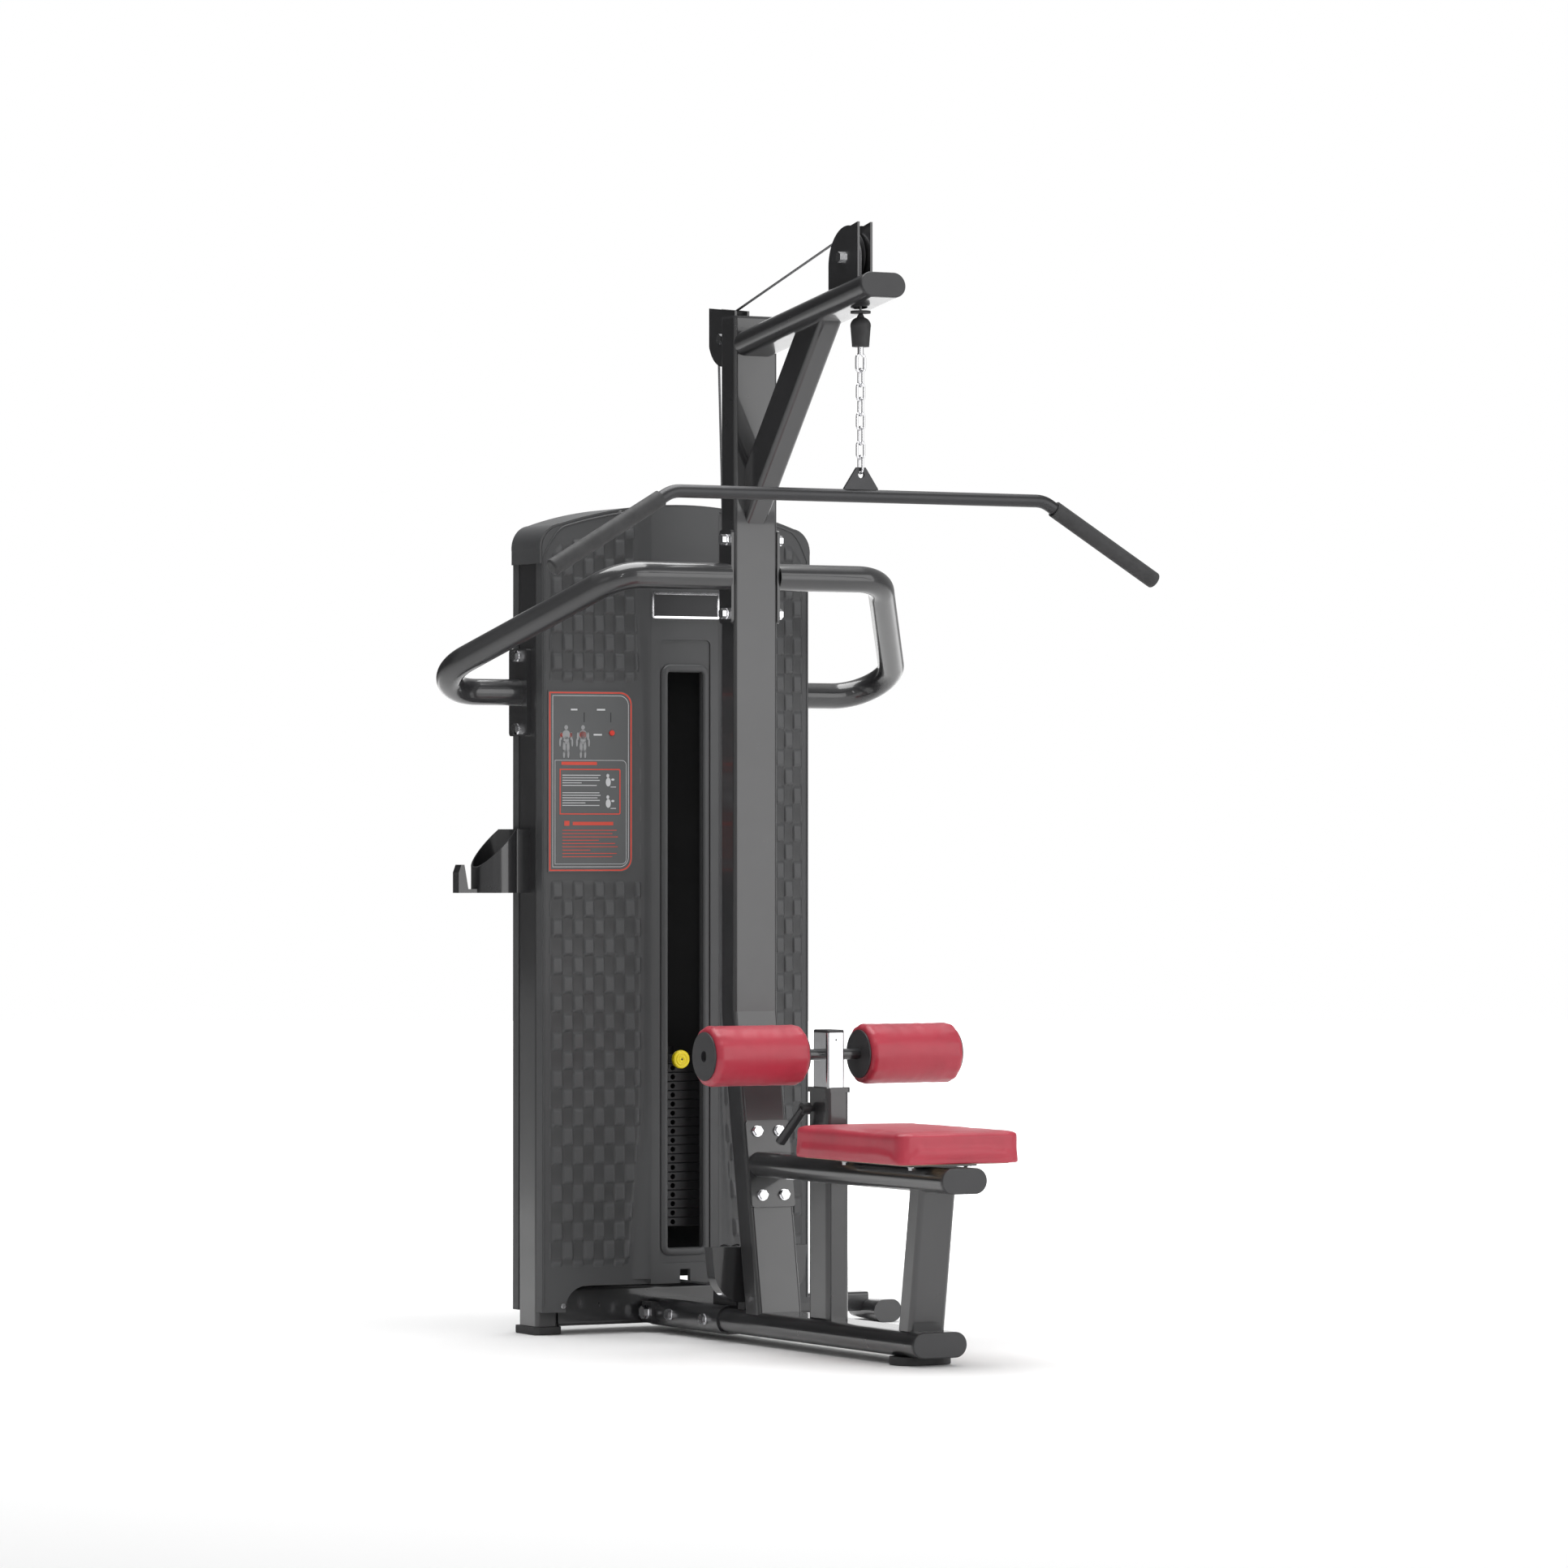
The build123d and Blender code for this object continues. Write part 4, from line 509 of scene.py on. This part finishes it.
def relief(side):
    """One side's woven sheet. It sinks behind the panel's face at its edges and behind the placard."""
    columns, rows = 120, 520
    verts, painted_relief_shade = [], []
    for r in range(rows):
        t = r / (rows - 1)
        for c in range(columns):
            s = c / (columns - 1)
            x = side * (RELIEF_IN + (RELIEF_OUT - RELIEF_IN) * s)
            z = RELIEF_FOOT + (panel_top(x) - RELIEF_HEAD_GAP - RELIEF_FOOT) * t
            edge = smooth_step(0, 0.05, s) * smooth_step(0, 0.05, 1 - s)
            edge *= smooth_step(0, 0.012, t) * smooth_step(0, 0.012, 1 - t)
            edge *= smooth_step(0.0, 0.010, abs(x) - flank_foot(z))
            if side < 0:
                beside = smooth_step(0.0, 0.014, x - PLACARD_HIGH.x - 0.012)
                above = smooth_step(0.0, 0.016, z - PLACARD_HIGH.z - 0.014)
                below = smooth_step(0.0, 0.016, PLACARD_LOW.z - 0.012 - z)
                edge *= max(beside, above, below)
            height = weave(x, z) * edge - WEAVE_SINK * (1 - edge)
            verts.append((x, panel_y(x) - height, z))
            # Painted shade and light: the tone falls with the weave's height, darkening its hollows and
            # brightening its raised cells; the sunk edges keep the full tone.
            painted_relief_shade.append(1 - edge * (1 - min(1.0, height / (0.55 * WEAVE_RISE))))
    name = "weave_left" if side < 0 else "weave_right"
    faces = grid_faces(rows, columns, flip=side < 0)
    obj = mesh_object(name, verts, faces, "shroud_weave", "frame")
    tone = obj.data.attributes.new("tone", "FLOAT", "POINT")
    tone.data.foreach_set("value", painted_relief_shade)


def band_fairing(side):
    """The soft flank that carries the middle band back to the woven panel, wider at top and bottom."""
    columns, rows = 14, 150
    verts = []
    for r in range(rows):
        z = BAND_FOOT + (BAND_HEAD - BAND_FOOT) * r / (rows - 1)
        foot = flank_foot(z)
        for c in range(columns):
            s = c / (columns - 1)
            x = BAND_HALF + (foot - BAND_HALF) * s
            rise = 1 - smooth_step(0.0, 1.0, s)
            front = BAND_Y - 0.0004
            verts.append((side * x, front + (panel_y(x) + 0.0003 - front) * (1 - rise), z))
    name = "band_flank_left" if side < 0 else "band_flank_right"
    mesh_object(name, verts, grid_faces(rows, columns, flip=side < 0), "shroud_grey", "frame")


def shroud_bead():
    """A rolled bead up both sides of the front shroud and over its top."""
    path = []
    side_steps, top_steps = 59, 90
    rise = BEAD_SHOULDER - BEAD_FOOT
    for i in range(side_steps + 1):
        path.append((-BEAD_HALF, BEAD_FOOT + rise * i / side_steps))
    for i in range(1, top_steps):
        x = -BEAD_HALF + 2 * BEAD_HALF * i / top_steps
        path.append((x, min(panel_top(x) - 0.004, BEAD_HEAD)))
    for i in range(side_steps + 1):
        path.append((BEAD_HALF, BEAD_SHOULDER - rise * i / side_steps))
    curve = bpy.data.curves.new("shroud_bead", "CURVE")
    curve.dimensions = "3D"
    spline = curve.splines.new("POLY")
    spline.points.add(len(path) - 1)
    for point, (x, z) in zip(spline.points, path):
        point.co = (x, panel_y(x) + 0.0002, z, 1)
    curve.bevel_depth = BEAD_RADIUS
    curve.bevel_resolution = 3
    obj = bpy.data.objects.new("shroud_bead", curve)
    bpy.context.collection.objects.link(obj)
    curve.materials.append(MATERIALS["shroud_grey"])
    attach(obj, "frame")


WINDOW_HALF, WINDOW_FOOT, WINDOW_HEAD = 0.040, 0.174, 1.364
RIM_PROFILE = [
    (0.0012, -0.0003),
    (0.0022, 0.0026),
    (0.0046, 0.0038),
    (0.0110, 0.0038),
    (0.0142, 0.0024),
    (0.0160, -0.0003),
]  # (reach out from the window, height above the band)


def rim_loop(reach, steps=8):
    """Points (x, z) of the selector window's outline, moved out by `reach`, with rounded corners."""
    corner = 0.006 + reach
    half, foot, head = WINDOW_HALF + reach, WINDOW_FOOT - reach, WINDOW_HEAD + reach
    corners = ((half, head, 0), (-half, head, 90), (-half, foot, 180), (half, foot, 270))
    loop = []
    for x, z, start in corners:
        cx = x - math.copysign(corner, x)
        cz = z - corner if z == head else z + corner
        for k in range(steps + 1):
            a = math.radians(start + 90 * k / steps)
            loop.append((cx + corner * math.cos(a), cz + corner * math.sin(a)))
    return loop


def window_rim():
    """The raised moulded rim round the selector window."""
    verts, faces = [], []
    for reach, height in RIM_PROFILE:
        verts += [(x, BAND_Y - height, z) for x, z in rim_loop(reach)]
    count = len(verts) // len(RIM_PROFILE)
    for r in range(len(RIM_PROFILE) - 1):
        for k in range(count):
            j = (k + 1) % count
            faces.append((r * count + k, (r + 1) * count + k, (r + 1) * count + j, r * count + j))
    mesh_object("window_rim", verts, faces, "shroud_grey", "frame")


# ---------------------------------------------------------------- placard print

PRINT_LIFT = 0.0034


def decal(name, outline_sets, material):
    """Flat printed shapes on the placard. Each shape is a strip: a list of (x, z low, z high)."""
    verts, faces = [], []
    for strip in outline_sets:
        base = len(verts)
        for x, low, high in strip:
            y = panel_y(x) - PRINT_LIFT
            verts += [(x, y, low), (x, y, high)]
        for i in range(len(strip) - 1):
            a = base + 2 * i
            faces.append((a, a + 2, a + 3, a + 1))
    mesh_object(name, verts, faces, material, "frame", smooth=False)


def bar_strip(x0, x1, z0, z1):
    steps = max(2, int(abs(x1 - x0) / 0.008) + 1)
    return [(x0 + (x1 - x0) * i / (steps - 1), z0, z1) for i in range(steps)]


def rounded_frame(x0, x1, z0, z1, width, corner):
    """A thin outline with two rounded right-hand corners, as strips."""
    strips = [bar_strip(x0, x1 - corner, z0, z0 + width), bar_strip(x0, x1 - corner, z1 - width, z1)]
    strips.append([(x0, z0, z1), (x0 + width, z0, z1)])
    strips.append([(x1 - width, z0 + corner, z1 - corner), (x1, z0 + corner, z1 - corner)])
    for centre_z, sign in ((z1 - corner, 1), (z0 + corner, -1)):
        arc = []
        for i in range(25):
            x = x1 - corner + corner * i / 24
            outer = math.sqrt(max(0.0, corner**2 - (x - x1 + corner) ** 2))
            inner_r = corner - width
            inside = x - x1 + corner
            inner = math.sqrt(max(0.0, inner_r**2 - inside**2)) if inside < inner_r else 0.0
            ends = sorted((centre_z + sign * outer, centre_z + sign * inner))
            arc.append((x, ends[0], ends[1]))
        strips.append(arc)
    return strips


def blob(cx, cz, rx, rz, steps=14):
    strip = []
    for i in range(steps + 1):
        x = cx - rx + 2 * rx * i / steps
        h = rz * math.sqrt(max(0.0, 1 - ((x - cx) / rx) ** 2))
        strip.append((x, cz - h, cz + h))
    return strip


def figure(cx, foot):
    """A standing person in plain rounded shapes."""
    shapes = [blob(cx, foot + 0.062, 0.0040, 0.0048)]
    shapes.append(blob(cx, foot + 0.047, 0.0085, 0.0095))
    shapes.append(blob(cx, foot + 0.036, 0.0058, 0.0080))
    for s in (-1, 1):
        shapes.append(blob(cx + s * 0.0108, foot + 0.044, 0.0024, 0.0080))
        shapes.append(blob(cx + s * 0.0130, foot + 0.031, 0.0019, 0.0085))
        shapes.append(blob(cx + s * 0.0040, foot + 0.022, 0.0032, 0.0120))
        shapes.append(blob(cx + s * 0.0046, foot + 0.008, 0.0023, 0.0090))
    return shapes


def line_block(x0, x1, top, rows, pitch, height, ragged):
    strips = []
    for i in range(rows):
        end = x1 - (x1 - x0) * (ragged[i % len(ragged)])
        z = top - pitch * i
        strips.append(bar_strip(x0, end, z, z + height))
    return strips


def placard_print():
    x0, x1 = PLACARD_LOW.x, PLACARD_HIGH.x
    z0, z1 = PLACARD_LOW.z, PLACARD_HIGH.z
    red = rounded_frame(x0 + 0.002, x1 - 0.002, z0 + 0.002, z1 - 0.002, 0.0030, 0.026)
    white = rounded_frame(x0 + 0.009, x1 - 0.009, z0 + 0.010, z1 - 0.009, 0.0011, 0.020)
    white += rounded_frame(x0 + 0.014, x1 - 0.014, z0 + 0.016, z1 - 0.142, 0.0009, 0.010)
    grey = figure(x0 + 0.038, z1 - 0.137) + figure(x0 + 0.074, z1 - 0.137)
    red += [blob(x0 + 0.074, z1 - 0.090, 0.0078, 0.0075)]
    red += [blob(x0 + 0.0275, z1 - 0.091, 0.0026, 0.0050), blob(x0 + 0.0485, z1 - 0.091, 0.0026, 0.0050)]
    red += rounded_frame(x0 + 0.024, x0 + 0.156, z0 + 0.118, z0 + 0.212, 0.0024, 0.004)
    red += [bar_strip(x0 + 0.028, x0 + 0.104, z0 + 0.220, z0 + 0.2265)]
    red += [bar_strip(x0 + 0.052, x0 + 0.140, z0 + 0.096, z0 + 0.103)]
    red += [bar_strip(x0 + 0.034, x0 + 0.045, z0 + 0.095, z0 + 0.105)]
    ragged = [0.02, 0.1, 0.0, 0.35, 0.05, 0.0, 0.5]
    red += line_block(x0 + 0.030, x0 + 0.150, z0 + 0.085, 9, 0.0068, 0.0014, ragged)
    white += line_block(x0 + 0.030, x0 + 0.112, z0 + 0.198, 5, 0.0052, 0.0016, [0.0, 0.06, 0.02, 0.5, 0.1])
    white += line_block(x0 + 0.030, x0 + 0.112, z0 + 0.162, 6, 0.0052, 0.0016, [0.03, 0.0, 0.08, 0.02, 0.4])
    for top in (z0 + 0.186, z0 + 0.142):
        white += [blob(x0 + 0.128, top + 0.012, 0.0032, 0.0038)]
        white += [blob(x0 + 0.129, top - 0.001, 0.0055, 0.0090)]
        white += [bar_strip(x0 + 0.134, x0 + 0.146, top - 0.012, top - 0.0105)]
        white += [blob(x0 + 0.139, top + 0.004, 0.0035, 0.0022)]
    white += [bar_strip(x0 + 0.048, x0 + 0.062, z1 - 0.040, z1 - 0.0365)]
    white += [bar_strip(x0 + 0.104, x0 + 0.122, z1 - 0.040, z1 - 0.0365)]
    white += [bar_strip(x0 + 0.097, x0 + 0.115, z1 - 0.0915, z1 - 0.088)]
    decal("placard_red_print", red, "print_red")
    decal("placard_white_print", white, "print_white")
    decal("placard_figures", grey, "print_grey")
    dark = [bar_strip(x0 + x, x0 + x + 0.002, z1 - 0.064, z1 - 0.044) for x in (0.0755, 0.1335)]
    decal("placard_displays", dark, "stack_black")


def sign_face():
    low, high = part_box("sign")
    inset, sink, bulge = 0.0048, 0.0024, 0.0006
    y = high.y - sink
    verts = []
    rows, columns = 3, 9
    for r in range(rows):
        for c in range(columns):
            x = low.x + inset + (high.x - low.x - 2 * inset) * c / (columns - 1)
            z = low.z + inset + (high.z - low.z - 2 * inset) * r / (rows - 1)
            crown = bulge * math.sin(math.pi * c / (columns - 1)) * math.sin(math.pi * r / (rows - 1))
            verts.append((x, y - crown, z))
    mesh_object("sign_face", verts, grid_faces(rows, columns), "stack_black", "frame")


# ---------------------------------------------------------------- upholstery

SEAT_OVER = 0.0025  # how far the cushion's sides start outside the CAD seat
SEAT_CORNER, SEAT_EDGE = 0.026, 0.006
SEAT_VOXEL = 0.006
PINNED_BAND = 0.012
CLOTH_FRAMES = 20
SWELL_LIMIT = 0.0025
CROWN, SEAM_PULL, RIPPLE = 0.0030, 0.0016, 0.0006
SEAM_LEVEL, SEAM_WIDTH = 0.16, 0.035  # shares of the cushion's height


def seat_shell():
    """A closed rounded block, a little larger than the CAD seat, that the cushion is blown up from."""
    low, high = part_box("seat_pad")
    bm = bmesh.new()
    bmesh.ops.create_cube(bm, size=1.0)
    size = (high.x - low.x + 2 * SEAT_OVER, high.y - low.y + 2 * SEAT_OVER, high.z - low.z - 0.002)
    centre = (low + high) / 2 + Vector((0, 0, 0.0002))
    bmesh.ops.transform(bm, matrix=Matrix.Translation(centre) @ Matrix.Diagonal((*size, 1)), verts=bm.verts)
    upright = [e for e in bm.edges if abs(e.verts[0].co.z - e.verts[1].co.z) > 0.01]
    bmesh.ops.bevel(bm, geom=upright, offset=SEAT_CORNER, segments=6, profile=0.5, affect="EDGES")
    top_edges = [e for e in bm.edges if all(v.co.z > high.z - 0.02 for v in e.verts)]
    bmesh.ops.bevel(bm, geom=top_edges, offset=SEAT_EDGE, segments=3, profile=0.5, affect="EDGES")
    mesh = bpy.data.meshes.new("seat_cushion")
    bm.to_mesh(mesh)
    bm.free()
    obj = bpy.data.objects.new("seat_cushion", mesh)
    bpy.context.collection.objects.link(obj)
    return obj, low, high


def remesh(obj, voxel):
    bpy.context.view_layer.objects.active = obj
    modifier = obj.modifiers.new("remesh", "REMESH")
    modifier.mode = "VOXEL"
    modifier.voxel_size = voxel
    apply_modifiers(obj)


def apply_modifiers(obj):
    graph = bpy.context.evaluated_depsgraph_get()
    mesh = bpy.data.meshes.new_from_object(obj.evaluated_get(graph))
    old = obj.data
    obj.modifiers.clear()
    obj.data = mesh
    bpy.data.meshes.remove(old)


def inflate(obj, cap, low):
    """Swells the cover under pressure, limited to `cap`, with its underside held flat."""
    rest = [v.co.copy() for v in obj.data.vertices]
    group = obj.vertex_groups.new(name="pinned")
    group.add([i for i, co in enumerate(rest) if co.z < low.z + PINNED_BAND], 1.0, "REPLACE")
    cloth = obj.modifiers.new("cloth", "CLOTH")
    settings = cloth.settings
    settings.quality = 6
    settings.mass = 0.3
    settings.use_pressure = True
    settings.uniform_pressure_force = 4.0
    settings.tension_stiffness = 25
    settings.compression_stiffness = 25
    settings.bending_stiffness = 0.6
    settings.vertex_group_mass = "pinned"
    settings.effector_weights.gravity = 0.0
    cloth.point_cache.frame_start = 1
    cloth.point_cache.frame_end = CLOTH_FRAMES
    for f in range(1, CLOTH_FRAMES + 1):
        bpy.context.scene.frame_set(f)
    apply_modifiers(obj)
    bpy.context.scene.frame_set(1)
    for vertex, start in zip(obj.data.vertices, rest):
        move = vertex.co - start
        if move.length > cap:
            move *= cap / move.length
        vertex.co = start + move
        vertex.co.z = max(vertex.co.z, low.z + 0.0012)


def finish_cover(obj, low, high):
    """Soft shaping after the simulation: a crown, a seam pulled in near the foot, ripples on top."""
    centre = (low + high) / 2
    half = (high - low) / 2
    for v in obj.data.vertices:
        u = (v.co.x - centre.x) / half.x
        w = (v.co.y - centre.y) / half.y
        level = (v.co.z - low.z) / (high.z - low.z)
        inside = max(0.0, 1 - u * u) * max(0.0, 1 - w * w)
        if level > 0.6:
            v.co.z += CROWN * inside
        seam = math.exp(-(((level - SEAM_LEVEL) / SEAM_WIDTH) ** 2))
        rim = smooth_step(0.86, 0.97, max(abs(u), abs(w)))
        v.co.x -= math.copysign(SEAM_PULL * seam * rim, u)
        v.co.y -= math.copysign(SEAM_PULL * seam * rim, w)
        ripple = noise.noise(Vector((v.co.x * 26, v.co.y * 26, v.co.z * 34)))
        v.co.z += RIPPLE * ripple * (level > 0.6)


def seat_cushion():
    obj, low, high = seat_shell()
    remesh(obj, SEAT_VOXEL)
    inflate(obj, SWELL_LIMIT, low)
    finish_cover(obj, low, high)
    obj.modifiers.new("smooth", "SUBSURF").levels = 1
    apply_modifiers(obj)
    obj.name = "seat_cushion"
    obj.data.materials.clear()
    obj.data.materials.append(MATERIALS["red_vinyl"])
    for p in obj.data.polygons:
        p.use_smooth = True
    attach(obj, "frame")
    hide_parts("seat_pad")


ROLLER_BORE, ROLLER_TUCK = 0.0245, 0.049  # radii: the flat end's inner edge, and where it rounds off
END_GAP, END_ROUND = 0.0006, 0.0125


def roller_cover(side):
    """The stretched vinyl sleeve of one roller, with tucked ends and faint circumferential creases."""
    node = "roller_left_pad" if side < 0 else "roller_right_pad"
    body = "roller_left" if side < 0 else "roller_right"
    low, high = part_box(node)
    centre = (low + high) / 2
    radius = (high.z - low.z) / 2
    half = (high.x - low.x) / 2
    around, along = 96, 60
    verts, faces = [], []
    profile = []
    steps = 8
    for i in range(steps + 1):
        profile.append((-half + END_GAP, ROLLER_BORE + (ROLLER_TUCK - ROLLER_BORE) * i / steps))
    for i in range(1, steps + 1):
        a = math.pi / 2 * i / steps
        inward = END_ROUND * (1 - math.cos(a))
        profile.append((-half + END_GAP + inward, ROLLER_TUCK + (radius - ROLLER_TUCK) * math.sin(a)))
    corner = END_GAP + END_ROUND
    for i in range(1, along):
        profile.append((-half + corner + 2 * (half - corner) * i / along, radius))
    profile += [(-a, r) for a, r in reversed(profile[: 2 * steps + 1])]
    for a, r in profile:
        for k in range(around):
            t = 2 * math.pi * k / around
            edge = smooth_step(0.0, 0.05, half - abs(a))
            crease = noise.noise(Vector((a * 55, math.cos(t) * 1.1, math.sin(t) * 1.1 + side * 3)))
            soft = 0.0008 * (1 - edge) * math.sin(14 * t) * smooth_step(0.048, 0.058, r)
            rr = r - 0.0004 + (0.0006 * crease + soft) * (r > 0.05)
            verts.append((centre.x + a, centre.y + rr * math.cos(t), centre.z + rr * math.sin(t)))
    n = len(profile)
    for r in range(n - 1):
        for k in range(around):
            j = (k + 1) % around
            faces.append((r * around + k, r * around + j, (r + 1) * around + j, (r + 1) * around + k))
    for k in range(around):
        j = (k + 1) % around
        faces.append(((n - 1) * around + k, (n - 1) * around + j, j, k))
    name = "roller_left_cover" if side < 0 else "roller_right_cover"
    obj = mesh_object(name, verts, faces, "red_vinyl", body)
    fix = bmesh.new()
    fix.from_mesh(obj.data)
    bmesh.ops.recalc_face_normals(fix, faces=fix.faces)
    fix.to_mesh(obj.data)
    fix.free()
    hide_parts(node)


# ---------------------------------------------------------------- cable runs and small trim


STRANDS, STRAND_DEPTH, ROPE_STEP = 6, 0.10, 0.004


def rope_mesh(name, top, bottom, radius, turns_per_m=42, segments=12):
    """A stranded rope between two heights: a round section with a six-strand twist."""
    length = top.z - bottom.z
    rows = max(24, int(length / ROPE_STEP))
    verts = []
    for r in range(rows + 1):
        z = top.z - length * r / rows
        for k in range(segments):
            t = 2 * math.pi * k / segments
            twist = STRANDS * t - turns_per_m * 2 * math.pi * z
            lobes = 1 - STRAND_DEPTH * (0.5 + 0.5 * math.cos(twist))
            verts.append((top.x + radius * lobes * math.cos(t), top.y + radius * lobes * math.sin(t), z))
    faces = []
    for r in range(rows):
        for k in range(segments):
            j = (k + 1) % segments
            faces.append((r * segments + k, (r + 1) * segments + k, (r + 1) * segments + j, r * segments + j))
    mesh = bpy.data.meshes.new(name)
    mesh.from_pydata(verts, [], faces)
    for p in mesh.polygons:
        p.use_smooth = True
    mesh.materials.append(MATERIALS["brushed_steel"])
    obj = bpy.data.objects.new(name, mesh)
    bpy.context.collection.objects.link(obj)
    return obj


def cable_drops():
    low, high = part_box("bar_cable")
    mid = (low + high) / 2
    top, bottom = Vector((mid.x, mid.y, high.z)), Vector((mid.x, mid.y, low.z))
    drop = rope_mesh("bar_cable_rope", top, bottom, (high.x - low.x) / 2)
    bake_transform(drop)
    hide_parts("bar_cable")
    low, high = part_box("stack_cable")
    mid = (low + high) / 2
    top, bottom = Vector((mid.x, mid.y, high.z)), Vector((mid.x, mid.y, low.z))
    lift = rope_mesh("stack_cable_rope", top, bottom, (high.x - low.x) / 2)
    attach(lift, "frame")
    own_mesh(lift)
    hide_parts("stack_cable")


def knob_face():
    """Moulded rings on the pin's knob, and the dark end of the pin at its middle."""
    low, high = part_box("pin_knob")
    centre = ((low.x + high.x) / 2, low.y, (low.z + high.z) / 2)
    rings = [(-0.0005, 0.0135), (0.0016, 0.0128), (0.0018, 0.0112), (0.0003, 0.0104)]
    rings += [(0.0003, 0.0074), (0.0014, 0.0066), (0.0014, 0.0056), (0.0004, 0.0048), (0.0004, 0.0002)]
    verts, faces = lathe(rings, centre, (0, -1, 0), 48)
    mesh_object("knob_rings", verts, faces, "knob_yellow", "selector_pin")
    dot = [(0.0004, 0.0022), (0.0009, 0.0019), (0.0010, 0.0001)]
    verts, faces = lathe(dot, centre, (0, -1, 0), 24)
    mesh_object("pin_end_dot", verts, faces, "stack_black", "selector_pin")


set_camera()
set_stage()
dress_cad()
for side in (-1, 1):
    relief(side)
    band_fairing(side)
    roller_cover(side)
shroud_bead()
window_rim()
placard_print()
sign_face()
seat_cushion()
cable_drops()
knob_face()
